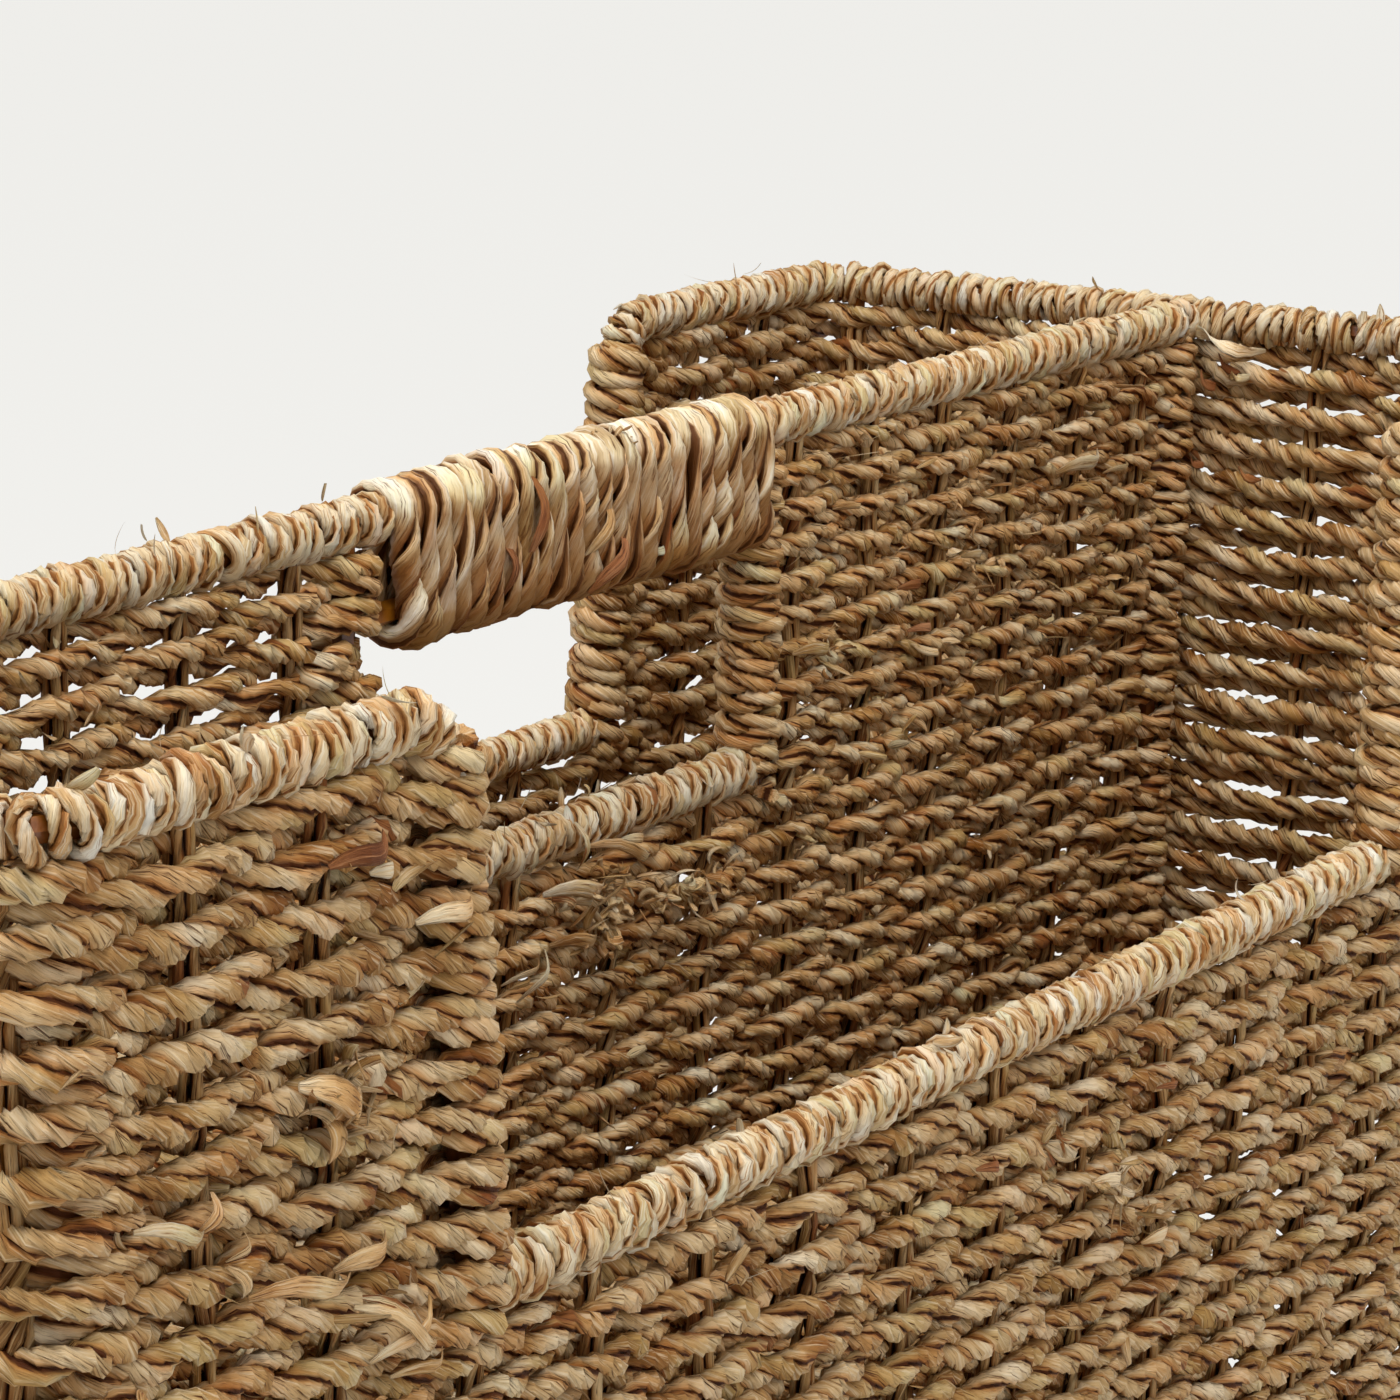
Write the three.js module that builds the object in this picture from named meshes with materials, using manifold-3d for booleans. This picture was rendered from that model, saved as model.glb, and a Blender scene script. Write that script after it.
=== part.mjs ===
// A magazine basket of twisted seagrass rope, woven over cord stakes on a bent wire frame.
// The front and back walls dip in the middle, and a dividing wall down the length carries a bound hand grip.
// Millimetres, +Z up. The origin is on the floor under the middle of the basket, and +X runs along its length.
import * as THREE from "three";
import { mergeVertices } from "three/addons/utils/BufferGeometryUtils.js";
import Module from "manifold-3d";

// The basket, measured between the middles of its walls
const rimLength = 475;
const footLength = 443; // the end walls lean in towards the floor
const basketWidth = 180;
const rimHeight = 276.5; // from the floor to the middle of the top rim wire
const dipDepth = 84; // how far the front and back rims drop
const dipTopLength = 312; // between the stepped wires, at the top rim
const dipBottomLength = 296;

// The wire frame and its blade binding
const wireDiameter = 4;
const wireBend = 8; // bend radius of a rim wire's middle
const boundDiameter = 7; // a rim wire with its binding
const wireSides = 6;
const boundSides = 8;
const bendSteps = 2;

// The weave
const weaveThickness = 10.4; // a rope in front of the stakes and one behind
const ropePitch = 4.4;
const ropeValley = 1.2; // how deep the line between two ropes lies
const rimGap = 3; // open slot between a bound rim and the first rope
const ropeLap = 4; // how far the ropes reach past the wire that they turn round
const footFlatShare = 0.6; // the flat of a rope under the basket, as a share of its pitch

// The cord stakes
const stakeDiameter = 3;
const stakeSides = 5;
const dipStakes = 9; // spread evenly along the low rim, between the steps
const openingHairpins = 2; // spread evenly under the hand opening
const sideHairpins = 3; // spread evenly between the opening's wire and each leg of the divider's arch
const earStakeShares = [1 / 3, 2 / 3]; // places in a raised end, from the step to the corner
const endStakeShares = [1 / 3, 2 / 3]; // places in half an end wall, from its middle to the corner

// The hand opening and the grip
const openingLength = 122.5; // between the opening's upright wires
const openingMiddle = 4; // the opening sits a little to the right of the basket's middle
const openingDepth = 63.5; // from the top rim wire down to the sill wire
const openingBend = 5;
const gripWireDrop = 16; // from the top rim wire down to the lower grip wire
const gripTurns = 24;
const gripArcSteps = 6; // steps over each of the two wires in a turn
const gripCordWidth = 4.15;
const gripCordHeight = 3.2;

const clearance = 0.3; // between pieces that bear on each other
const overrun = 20; // how far a cutting solid reaches past what it cuts

const wasm = await Module();
wasm.setup();

const halfWidth = basketWidth / 2;
const halfWeave = weaveThickness / 2;
const halfBound = boundDiameter / 2;
const halfWire = wireDiameter / 2;
const halfOpening = openingLength / 2;
const lowRimHeight = rimHeight - dipDepth;
const sillHeight = rimHeight - openingDepth;
const wireInset = wireDiameter + clearance; // from the middle of a wire to that of the next one
const weaveTop = rimHeight - halfBound - rimGap;
const lowWeaveTop = lowRimHeight - halfBound - rimGap;
const sillWeaveTop = sillHeight - halfBound - rimGap;
const openEdge = halfOpening - ropeLap; // where the ropes turn back at the hand opening
const stakeEnd = halfBound + clearance; // how far below a rim wire's middle a stake ends

// Half the length at a height: the end walls lean in towards the floor.
function halfLengthAt(z) {
  return THREE.MathUtils.lerp(footLength, rimLength, z / rimHeight) / 2;
}

// Half the dip's length at a height: its sides lean as well.
function halfDipAt(z) {
  const share = (z - lowRimHeight) / dipDepth;
  return THREE.MathUtils.lerp(dipBottomLength, dipTopLength, share) / 2;
}

// A closed geometry as a solid that can be cut.
function solidOf(geometry) {
  const bare = new THREE.BufferGeometry();
  const loose = geometry.index ? geometry.toNonIndexed() : geometry;
  bare.setAttribute("position", loose.getAttribute("position"));
  const merged = mergeVertices(bare);
  return new wasm.Manifold(
    new wasm.Mesh({
      numProp: 3,
      vertProperties: merged.getAttribute("position").array,
      triVerts: new Uint32Array(merged.index.array),
    }),
  );
}

function geometryOf(solid) {
  const mesh = solid.getMesh();
  const shared = new THREE.BufferGeometry();
  shared.setAttribute("position", new THREE.BufferAttribute(mesh.vertProperties, 3));
  shared.setIndex(new THREE.BufferAttribute(mesh.triVerts, 1));
  const geometry = shared.toNonIndexed();
  geometry.computeVertexNormals();
  return geometry;
}

// Straight runs between corners, with an arc of the bend radius at each corner.
function bentPath(corners, radius, closed = false) {
  const count = corners.length;
  const points = [];
  corners.forEach((corner, i) => {
    if (!closed && (i === 0 || i === count - 1)) {
      points.push(corner.clone());
      return;
    }
    const into = corner.clone().sub(corners[(i + count - 1) % count]).normalize();
    const out = corners[(i + 1) % count].clone().sub(corner).normalize();
    const turn = into.angleTo(out);
    const start = corner.clone().addScaledVector(into, -radius * Math.tan(turn / 2));
    const inward = out.clone().addScaledVector(into, -into.dot(out)).normalize();
    for (let k = 0; k <= bendSteps; k += 1) {
      const angle = (turn * k) / bendSteps;
      const point = start.clone();
      point.addScaledVector(inward, radius * (1 - Math.cos(angle)));
      point.addScaledVector(into, radius * Math.sin(angle));
      points.push(point);
    }
  });
  return points;
}

// Each point's direction of travel, its bend and how much a section stretches across the mitre there.
function mitresOf(points, closed) {
  const count = points.length;
  return points.map((point, i) => {
    const before = closed ? points[(i + count - 1) % count] : points[Math.max(i - 1, 0)];
    const after = closed ? points[(i + 1) % count] : points[Math.min(i + 1, count - 1)];
    const into = point.clone().sub(before).normalize();
    const out = after.clone().sub(point).normalize();
    const tangent = into.clone().add(out).normalize();
    const isEnd = !closed && (i === 0 || i === count - 1);
    const bend = isEnd ? new THREE.Vector3() : out.sub(into).normalize();
    const stretch = isEnd ? 0 : 1 / tangent.dot(into) - 1;
    return { tangent, bend, stretch };
  });
}

// A section carried along points as one tube, capped at its ends or closed on itself.
// The section's x axis follows facing, or else turns as little as it can.
function sweep(points, section, { closed = false, facing = null } = {}) {
  const count = points.length;
  const sides = section.length;
  const mitres = mitresOf(points, closed);
  const first = mitres[0].tangent;
  const guide = facing ?? new THREE.Vector3(Math.abs(first.z), Math.abs(first.x), Math.abs(first.y));
  const side = guide.clone().addScaledVector(first, -guide.dot(first)).normalize();
  const started = side.clone();
  const turn = new THREE.Quaternion();
  const sideways = mitres.map(({ tangent }, i) => {
    if (facing) return facing.clone().addScaledVector(tangent, -facing.dot(tangent)).normalize();
    if (i > 0) side.applyQuaternion(turn.setFromUnitVectors(mitres[i - 1].tangent, tangent));
    return side.clone();
  });
  // A closed tube's section comes back turned: whole sides are skipped, and the rest is shared out.
  let shift = 0;
  let twist = 0;
  if (closed) {
    side.applyQuaternion(turn.setFromUnitVectors(mitres[count - 1].tangent, first));
    const lift = new THREE.Vector3().crossVectors(first, started);
    const angle = Math.atan2(side.dot(lift), side.dot(started));
    const sideAngle = (2 * Math.PI) / sides;
    shift = Math.round(angle / sideAngle);
    twist = angle - shift * sideAngle;
  }
  const positions = [];
  points.forEach((point, i) => {
    const { tangent, bend, stretch } = mitres[i];
    const lift = new THREE.Vector3().crossVectors(tangent, sideways[i]);
    const turned = (-twist * i) / count;
    section.forEach((corner) => {
      const { x, y } = corner.clone().rotateAround(new THREE.Vector2(), turned);
      const reach = sideways[i].clone().multiplyScalar(x).addScaledVector(lift, y);
      reach.addScaledVector(bend, reach.dot(bend) * stretch);
      positions.push(...reach.add(point).toArray());
    });
  });
  const faces = [];
  for (let i = 0; i < (closed ? count : count - 1); i += 1) {
    const next = (i + 1) % count;
    const skipped = next === 0 ? sides - shift : 0;
    for (let k = 0; k < sides; k += 1) {
      const here = i * sides + k;
      const beside = i * sides + ((k + 1) % sides);
      const ahead = next * sides + ((k + skipped) % sides);
      const aheadBeside = next * sides + ((k + 1 + skipped) % sides);
      faces.push(here, beside, aheadBeside, here, aheadBeside, ahead);
    }
  }
  if (!closed) {
    const last = (count - 1) * sides;
    for (let k = 1; k < sides - 1; k += 1) {
      faces.push(0, k + 1, k, last, last + k, last + k + 1);
    }
  }
  const geometry = new THREE.BufferGeometry();
  geometry.setAttribute("position", new THREE.Float32BufferAttribute(positions, 3));
  geometry.setIndex(faces);
  return geometry;
}

// A round section as a polygon of about the same area.
function roundSection(diameter, sides) {
  const radius = diameter / 2;
  return Array.from({ length: sides }, (unused, k) => {
    const angle = (2 * Math.PI * (k + 1 / 2)) / sides;
    return new THREE.Vector2(radius * Math.cos(angle), radius * Math.sin(angle));
  });
}

// A block between two heights, whose four corners follow a function of the height.
function wedge(cornersAt, low, high) {
  const positions = [low, high].flatMap((z) => cornersAt(z).flatMap(([x, y]) => [x, y, z]));
  const faces = [0, 2, 1, 0, 3, 2, 4, 5, 6, 4, 6, 7];
  for (let k = 0; k < 4; k += 1) {
    const next = (k + 1) % 4;
    faces.push(k, next, next + 4, k, next + 4, k + 4);
  }
  const geometry = new THREE.BufferGeometry();
  geometry.setAttribute("position", new THREE.Float32BufferAttribute(positions, 3));
  geometry.setIndex(faces);
  return solidOf(geometry);
}

// The wires

const at = (x, y, z) => new THREE.Vector3(x, y, z);

// A bar along a path, and the room that a piece leaves around it.
function bar(path, diameter, sides, closed = false) {
  const room = path.map((point) => point.clone());
  if (!closed) {
    const start = room[0].clone().sub(room[1]).normalize();
    const end = room.at(-1).clone().sub(room.at(-2)).normalize();
    room[0].addScaledVector(start, clearance);
    room.at(-1).addScaledVector(end, clearance);
  }
  const grown = diameter + 2 * clearance;
  return {
    geometry: sweep(path, roundSection(diameter, sides), { closed }),
    room: solidOf(sweep(room, roundSection(grown, sides), { closed })),
  };
}

// The rim wire runs round the basket and steps down along each dip.
const rimCorners = [-1, 1].flatMap((face) => {
  const y = face * halfWidth;
  return [
    at(face * halfLengthAt(rimHeight), y, rimHeight),
    at(face * halfDipAt(rimHeight), y, rimHeight),
    at(face * halfDipAt(lowRimHeight), y, lowRimHeight),
    at(-face * halfDipAt(lowRimHeight), y, lowRimHeight),
    at(-face * halfDipAt(rimHeight), y, rimHeight),
    at(-face * halfLengthAt(rimHeight), y, rimHeight),
  ];
});
const rimWire = bar(bentPath(rimCorners, wireBend, true), wireDiameter, wireSides, true);

// The base wire is a closed loop inside the feet of the walls, and the stakes turn under it.
const stakeLevel = halfWeave;
const baseWireHeight = stakeLevel + wireInset;
const baseX = halfLengthAt(baseWireHeight) - wireInset;
const baseY = halfWidth - wireInset;
const baseCorners = [
  at(-baseX, -baseY, baseWireHeight),
  at(baseX, -baseY, baseWireHeight),
  at(baseX, baseY, baseWireHeight),
  at(-baseX, baseY, baseWireHeight),
];
const baseWire = bar(bentPath(baseCorners, wireBend - wireInset, true), wireDiameter, wireSides, true);

// A corner upright stands against the base wire and meets the rim wire from below, where its bend begins.
function cornerUpright(side, face) {
  const point = (z) => at(side * halfLengthAt(z), face * (halfWidth - wireBend), z);
  const path = [point(baseWireHeight - halfWire), point(rimHeight - wireInset + halfWire)];
  return bar(path, wireDiameter, wireSides);
}

// The divider's frame is one wire bent into a long arch that stands in the base.
const dividerInset = halfWeave + clearance + ropeLap;
const archCorners = [
  at(dividerInset - halfLengthAt(stakeLevel), 0, stakeLevel),
  at(dividerInset - halfLengthAt(rimHeight), 0, rimHeight),
  at(halfLengthAt(rimHeight) - dividerInset, 0, rimHeight),
  at(halfLengthAt(stakeLevel) - dividerInset, 0, stakeLevel),
];
const dividerArch = bar(bentPath(archCorners, openingBend), wireDiameter, wireSides);

// The opening's wire hangs from the arch: down one side, along the sill and up the other.
const hangHeight = rimHeight - wireInset;
const openingCorners = [
  at(openingMiddle - halfOpening, 0, hangHeight + halfWire),
  at(openingMiddle - halfOpening, 0, sillHeight),
  at(openingMiddle + halfOpening, 0, sillHeight),
  at(openingMiddle + halfOpening, 0, hangHeight + halfWire),
];
const openingWire = bar(bentPath(openingCorners, openingBend), wireDiameter, wireSides);

// The lower grip wire is welded between the opening's uprights.
const gripWireHeight = rimHeight - gripWireDrop;
const halfGripWire = halfOpening - wireInset + halfWire;
const gripWirePath = [-1, 1].map((side) => at(openingMiddle + side * halfGripWire, 0, gripWireHeight));
const gripWire = bar(gripWirePath, wireDiameter, wireSides);

// The stakes

// A wall stake comes down the front wall, turns under the base wire, crosses and climbs the back wall.
function wallStake(share, top) {
  const point = (face, z) => at(share * halfLengthAt(z), face * halfWidth, z);
  const corners = [point(-1, top), point(-1, stakeLevel), point(1, stakeLevel), point(1, top)];
  return bar(bentPath(corners, wireInset), stakeDiameter, stakeSides);
}

// A hairpin stake has two legs and a turn at the foot.
function hairpin(legs, foot, top) {
  const [left, right] = legs;
  const corners = [left(top[0]), left(foot), right(foot), right(top[1])];
  return bar(bentPath(corners, wireInset), stakeDiameter, stakeSides);
}

const wallStakes = [];
const halfRim = halfLengthAt(rimHeight);
for (let k = 1; k <= dipStakes; k += 1) {
  const along = (2 * k) / (dipStakes + 1) - 1;
  const share = (along * halfDipAt(lowRimHeight)) / halfLengthAt(lowRimHeight);
  wallStakes.push({ share, stake: wallStake(share, lowRimHeight - stakeEnd) });
}
for (const side of [-1, 1]) {
  for (const along of earStakeShares) {
    const x = THREE.MathUtils.lerp(halfDipAt(rimHeight), halfRim, along);
    const share = (side * x) / halfRim;
    wallStakes.push({ share, stake: wallStake(share, rimHeight - stakeEnd) });
  }
}
wallStakes.sort((one, other) => one.share - other.share);

const endStakes = [-1, 1].flatMap((side) =>
  [-1, 1].map((face) => {
    const legs = endStakeShares.map(
      (share) => (z) => at(side * halfLengthAt(z), face * share * halfWidth, z),
    );
    const top = rimHeight - stakeEnd;
    return hairpin(legs, stakeLevel, [top, top]);
  }),
);

// The divider's hairpins stand over the wall stakes, and the middle ones stop at the sill.
const dividerFoot = weaveThickness + clearance;
const dividerStakeFoot = dividerFoot + stakeDiameter;
const archHalfAt = (z) => halfLengthAt(z) - dividerInset;
const leftWireAt = () => openingMiddle - halfOpening;
const rightWireAt = () => openingMiddle + halfOpening;
function dividerHairpins(count, startAt, endAt, top) {
  const legs = Array.from({ length: 2 * count }, (unused, k) => {
    const share = (k + 1 / 2) / (2 * count);
    return (z) => at(startAt(z) + share * (endAt(z) - startAt(z)), 0, z);
  });
  return Array.from({ length: count }, (unused, k) =>
    hairpin(legs.slice(2 * k, 2 * k + 2), dividerStakeFoot, [top, top]),
  );
}
const dividerStakes = [
  ...dividerHairpins(sideHairpins, (z) => -archHalfAt(z), leftWireAt, rimHeight - stakeEnd),
  ...dividerHairpins(openingHairpins, leftWireAt, rightWireAt, sillHeight - stakeEnd),
  ...dividerHairpins(sideHairpins, rightWireAt, archHalfAt, rimHeight - stakeEnd),
];

// The weave

const cornerUprights = [-1, 1].flatMap((side) => [-1, 1].map((face) => cornerUpright(side, face)));
const innerPieces = [
  rimWire,
  baseWire,
  ...cornerUprights,
  dividerArch,
  openingWire,
  gripWire,
  ...wallStakes.map(({ stake }) => stake),
  ...endStakes,
  ...dividerStakes,
];

// Takes the room of every wire and stake out of a solid.
function threaded(solid) {
  return innerPieces.reduce((left, { room }) => left.subtract(room), solid);
}

// The outline of a wall of ropes from a low edge to a high one, whose middle follows a function of height.
function courses(low, high, middleAt) {
  const rows = Math.round((high - low) / ropePitch);
  const pitch = (high - low) / rows;
  const outline = (face) => {
    const points = [];
    for (let row = 0; row < rows; row += 1) {
      const valley = low + row * pitch;
      const crest = valley + pitch / 2;
      points.push([middleAt(valley) + face * (halfWeave - ropeValley), valley]);
      points.push([middleAt(crest) + face * halfWeave, crest]);
    }
    points.push([middleAt(high) + face * (halfWeave - ropeValley), high]);
    return points;
  };
  const points = [...outline(1), ...outline(-1).reverse()];
  return new THREE.Shape(points.map(([x, y]) => new THREE.Vector2(x, y)));
}

// The base's outline: rope crests on top, and ropes trodden flat underneath.
function baseCourses(halfSpan) {
  const rows = 2 * Math.floor(halfSpan / ropePitch) + 1; // odd, so that a rope lies under the middle
  const pitch = (2 * halfSpan) / rows;
  const points = [];
  for (let row = 0; row < rows; row += 1) {
    const crest = (row + 1 / 2) * pitch - halfSpan;
    const flat = (footFlatShare * pitch) / 2;
    points.push([crest - pitch / 2, ropeValley], [crest - flat, 0], [crest + flat, 0]);
  }
  points.push([halfSpan, ropeValley]);
  for (let row = rows - 1; row >= 0; row -= 1) {
    const crest = (row + 1 / 2) * pitch - halfSpan;
    points.push([crest + pitch / 2, weaveThickness - ropeValley], [crest, weaveThickness]);
  }
  points.push([-halfSpan, weaveThickness - ropeValley]);
  return new THREE.Shape(points.map(([x, y]) => new THREE.Vector2(x, y)));
}

const alongX = new THREE.Matrix4().makeBasis(at(0, 1, 0), at(0, 0, 1), at(1, 0, 0));
const alongY = new THREE.Matrix4().makeBasis(at(1, 0, 0), at(0, 0, 1), at(0, -1, 0));

// Ropes laid along a direction, long enough to be cut to their wall.
function laid(shape, length, direction) {
  const depth = length + 2 * overrun;
  const geometry = new THREE.ExtrudeGeometry(shape, { depth, bevelEnabled: false });
  geometry.translate(0, 0, -depth / 2);
  return solidOf(geometry.applyMatrix4(direction));
}

const mitreGap = clearance * Math.SQRT1_2;
const wallBand = halfWeave + clearance; // half of a band that holds a wall

// A long wall between two heights, cut to the mitres at the corners or to a given inner edge.
function longWall(face, low, high, edges) {
  const mitre = (y, z) => halfLengthAt(z) + Math.abs(y) - halfWidth - mitreGap;
  const outer = face * (halfWidth + wallBand);
  const inner = face * (halfWidth - wallBand);
  const [start, end] = edges ?? [(y, z) => -mitre(y, z), mitre];
  const [first, second] = face < 0 ? [outer, inner] : [inner, outer];
  const cornersAt = (z) => [
    [start(first, z), first],
    [end(first, z), first],
    [end(second, z), second],
    [start(second, z), second],
  ];
  const shape = courses(low, high, () => face * halfWidth);
  const ropes = laid(shape, rimLength, alongX);
  return threaded(ropes.intersect(wedge(cornersAt, low - overrun, high + overrun)));
}

function ear(side, face) {
  const mitre = (y, z) => side * (halfLengthAt(z) + Math.abs(y) - halfWidth - mitreGap);
  const step = (y, z) => side * (halfDipAt(z) - ropeLap);
  const edges = side > 0 ? [step, mitre] : [mitre, step];
  return longWall(face, lowWeaveTop + clearance, weaveTop, edges);
}

function endWall(side) {
  const cornersAt = (z) => {
    const outer = halfLengthAt(z) + wallBand;
    const inner = halfLengthAt(z) - wallBand;
    const reach = (x) => halfWidth + x - halfLengthAt(z) - mitreGap;
    return [
      [side * inner, -side * reach(inner)],
      [side * outer, -side * reach(outer)],
      [side * outer, side * reach(outer)],
      [side * inner, side * reach(inner)],
    ];
  };
  const shape = courses(0, weaveTop, (z) => side * halfLengthAt(z));
  const ropes = laid(shape, basketWidth, alongY);
  return threaded(ropes.intersect(wedge(cornersAt, -overrun, weaveTop + overrun)));
}

// A stretch of the divider between two ends along X.
function dividerWall(low, high, startAt, endAt) {
  const cornersAt = (z) => [
    [startAt(z), -wallBand],
    [endAt(z), -wallBand],
    [endAt(z), wallBand],
    [startAt(z), wallBand],
  ];
  const ropes = laid(courses(low, high, () => 0), rimLength, alongX);
  return threaded(ropes.intersect(wedge(cornersAt, low - overrun, high + overrun)));
}

const innerEndAt = (z) => halfLengthAt(z) - halfWeave - clearance;
const dividerLow = dividerWall(dividerFoot, sillWeaveTop, (z) => -innerEndAt(z), innerEndAt);
const dividerSideLow = sillWeaveTop + clearance;
const leftOpenEnd = () => openingMiddle - openEdge;
const rightOpenEnd = () => openingMiddle + openEdge;
const dividerLeft = dividerWall(dividerSideLow, weaveTop, (z) => -innerEndAt(z), leftOpenEnd);
const dividerRight = dividerWall(dividerSideLow, weaveTop, rightOpenEnd, innerEndAt);

const halfBase = halfWidth - halfWeave - clearance;
const baseCornersAt = (z) => [
  [-innerEndAt(z), -halfWidth],
  [innerEndAt(z), -halfWidth],
  [innerEndAt(z), halfWidth],
  [-innerEndAt(z), halfWidth],
];
const baseRopes = laid(baseCourses(halfBase), footLength, alongX);
const baseWeave = threaded(baseRopes.intersect(wedge(baseCornersAt, -overrun, weaveThickness + overrun)));

// The bindings: blades wound tight round the rim wires

function binding(path) {
  return threaded(solidOf(sweep(path, roundSection(boundDiameter, boundSides))));
}

// An end's binding runs from one step, round both corners, to the other step.
const stepTurn = Math.atan2(dipDepth, halfDipAt(rimHeight) - halfDipAt(lowRimHeight)); // how sharply the wire turns
const stepBendReach = wireBend * Math.tan(stepTurn / 2);
function endBinding(side) {
  const start = side * (halfDipAt(rimHeight) + stepBendReach);
  const corners = [
    at(start, -halfWidth, rimHeight),
    at(side * halfRim, -halfWidth, rimHeight),
    at(side * halfRim, halfWidth, rimHeight),
    at(start, halfWidth, rimHeight),
  ];
  return binding(bentPath(corners, wireBend));
}

function dipBinding(face) {
  const end = halfDipAt(lowRimHeight) - stepBendReach;
  return binding([at(-end, face * halfWidth, lowRimHeight), at(end, face * halfWidth, lowRimHeight)]);
}

const sillEnd = halfOpening - openingBend;
const sillBinding = binding([-1, 1].map((side) => at(openingMiddle + side * sillEnd, 0, sillHeight)));

const gripHalfLength = openEdge - clearance;
function dividerRimBinding(side) {
  const start = openingMiddle + side * (gripHalfLength + 2 * clearance);
  const end = side * (halfRim - halfBound - clearance);
  return binding([at(start, 0, rimHeight), at(end, 0, rimHeight)]);
}

// The grip's winding: one cord laid in turns round both grip wires.
const turnRadius = halfWire + clearance + gripCordHeight / 2 + clearance / 2;
const windingHalfLength = gripHalfLength - gripCordWidth / 2;
const turnPitch = (2 * windingHalfLength) / gripTurns;
const turnSteps = 2 * (gripArcSteps + 1);
function windingPath() {
  const points = [];
  for (let step = 0; step <= gripTurns * turnSteps; step += 1) {
    const arc = Math.floor(step / (gripArcSteps + 1));
    const angle = Math.PI * (arc + (step % (gripArcSteps + 1)) / gripArcSteps);
    const centre = arc % 2 === 0 ? rimHeight : gripWireHeight;
    const x = openingMiddle - windingHalfLength + (step / turnSteps) * turnPitch;
    points.push(at(x, turnRadius * Math.cos(angle), centre + turnRadius * Math.sin(angle)));
  }
  return points;
}
const cordWide = gripCordWidth / 2;
const cordHigh = gripCordHeight / 2;
const cordSection = [
  new THREE.Vector2(cordWide, 0),
  new THREE.Vector2(cordWide / 2, cordHigh),
  new THREE.Vector2(-cordWide / 2, cordHigh),
  new THREE.Vector2(-cordWide, 0),
  new THREE.Vector2(-cordWide / 2, -cordHigh),
  new THREE.Vector2(cordWide / 2, -cordHigh),
];
const gripWinding = sweep(windingPath(), cordSection, { facing: at(1, 0, 0) });

// The least gap between one turn and the next, measured between points on the cord's edges.
function leastTurnGap(geometry, sides) {
  const position = geometry.getAttribute("position");
  const ring = (i) =>
    Array.from({ length: sides }, (unused, k) =>
      new THREE.Vector3().fromBufferAttribute(position, i * sides + k),
    );
  const rings = Array.from({ length: position.count / sides }, (unused, i) => ring(i));
  let least = Infinity;
  rings.forEach((points, i) => {
    for (let j = i + turnSteps - 2; j <= i + turnSteps + 2 && j < rings.length; j += 1) {
      points.forEach((one) => {
        rings[j].forEach((other, k) => {
          const edge = new THREE.Line3(other, rings[j][(k + 1) % sides]);
          const nearest = edge.closestPointToPoint(one, true, new THREE.Vector3());
          least = Math.min(least, nearest.distanceTo(one));
        });
      });
    }
  });
  return least;
}
console.log("least gap between the grip's turns: " + leastTurnGap(gripWinding, cordSection.length).toFixed(2));

// The materials

const wireFinish = new THREE.MeshStandardMaterial({ color: 0xb98a2e, roughness: 0.35, metalness: 0.85 });
const ropeFinish = new THREE.MeshStandardMaterial({ color: 0xa08a60, roughness: 0.75, metalness: 0 });
const dividerFinish = new THREE.MeshStandardMaterial({ color: 0x94805a, roughness: 0.75, metalness: 0 });
const stakeFinish = new THREE.MeshStandardMaterial({ color: 0x7a6440, roughness: 0.8, metalness: 0 });
const bladeFinish = new THREE.MeshStandardMaterial({ color: 0xcbb684, roughness: 0.65, metalness: 0 });
const gripFinish = new THREE.MeshStandardMaterial({ color: 0xa99a6a, roughness: 0.7, metalness: 0 });

// The assembly

const basket = new THREE.Group();

function fit(group, name, geometry, material) {
  const mesh = new THREE.Mesh(geometry, material);
  mesh.name = name;
  group.add(mesh);
}

const frame = new THREE.Group();
fit(frame, "rim_wire", rimWire.geometry, wireFinish);
fit(frame, "base_wire", baseWire.geometry, wireFinish);
cornerUprights.forEach(({ geometry }, i) => {
  const place = ["left_front", "left_back", "right_front", "right_back"][i];
  fit(frame, "corner_upright_" + place, geometry, wireFinish);
});
fit(frame, "divider_arch_wire", dividerArch.geometry, wireFinish);
fit(frame, "opening_wire", openingWire.geometry, wireFinish);
fit(frame, "grip_wire", gripWire.geometry, wireFinish);
basket.add(frame);

const stakes = new THREE.Group();
const numbered = (i) => String(i + 1).padStart(2, "0");
wallStakes.forEach(({ stake }, i) => fit(stakes, "wall_stake_" + numbered(i), stake.geometry, stakeFinish));
endStakes.forEach(({ geometry }, i) => fit(stakes, "end_stake_" + numbered(i), geometry, stakeFinish));
dividerStakes.forEach(({ geometry }, i) => fit(stakes, "divider_stake_" + numbered(i), geometry, stakeFinish));
basket.add(stakes);

const weave = new THREE.Group();
fit(weave, "base_weave", geometryOf(baseWeave), ropeFinish);
for (const [name, face] of [["front", -1], ["back", 1]]) {
  fit(weave, name + "_weave", geometryOf(longWall(face, 0, lowWeaveTop)), ropeFinish);
  fit(weave, name + "_left_ear_weave", geometryOf(ear(-1, face)), ropeFinish);
  fit(weave, name + "_right_ear_weave", geometryOf(ear(1, face)), ropeFinish);
}
fit(weave, "left_end_weave", geometryOf(endWall(-1)), ropeFinish);
fit(weave, "right_end_weave", geometryOf(endWall(1)), ropeFinish);
fit(weave, "divider_weave", geometryOf(dividerLow), dividerFinish);
fit(weave, "divider_left_weave", geometryOf(dividerLeft), dividerFinish);
fit(weave, "divider_right_weave", geometryOf(dividerRight), dividerFinish);
basket.add(weave);

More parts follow.
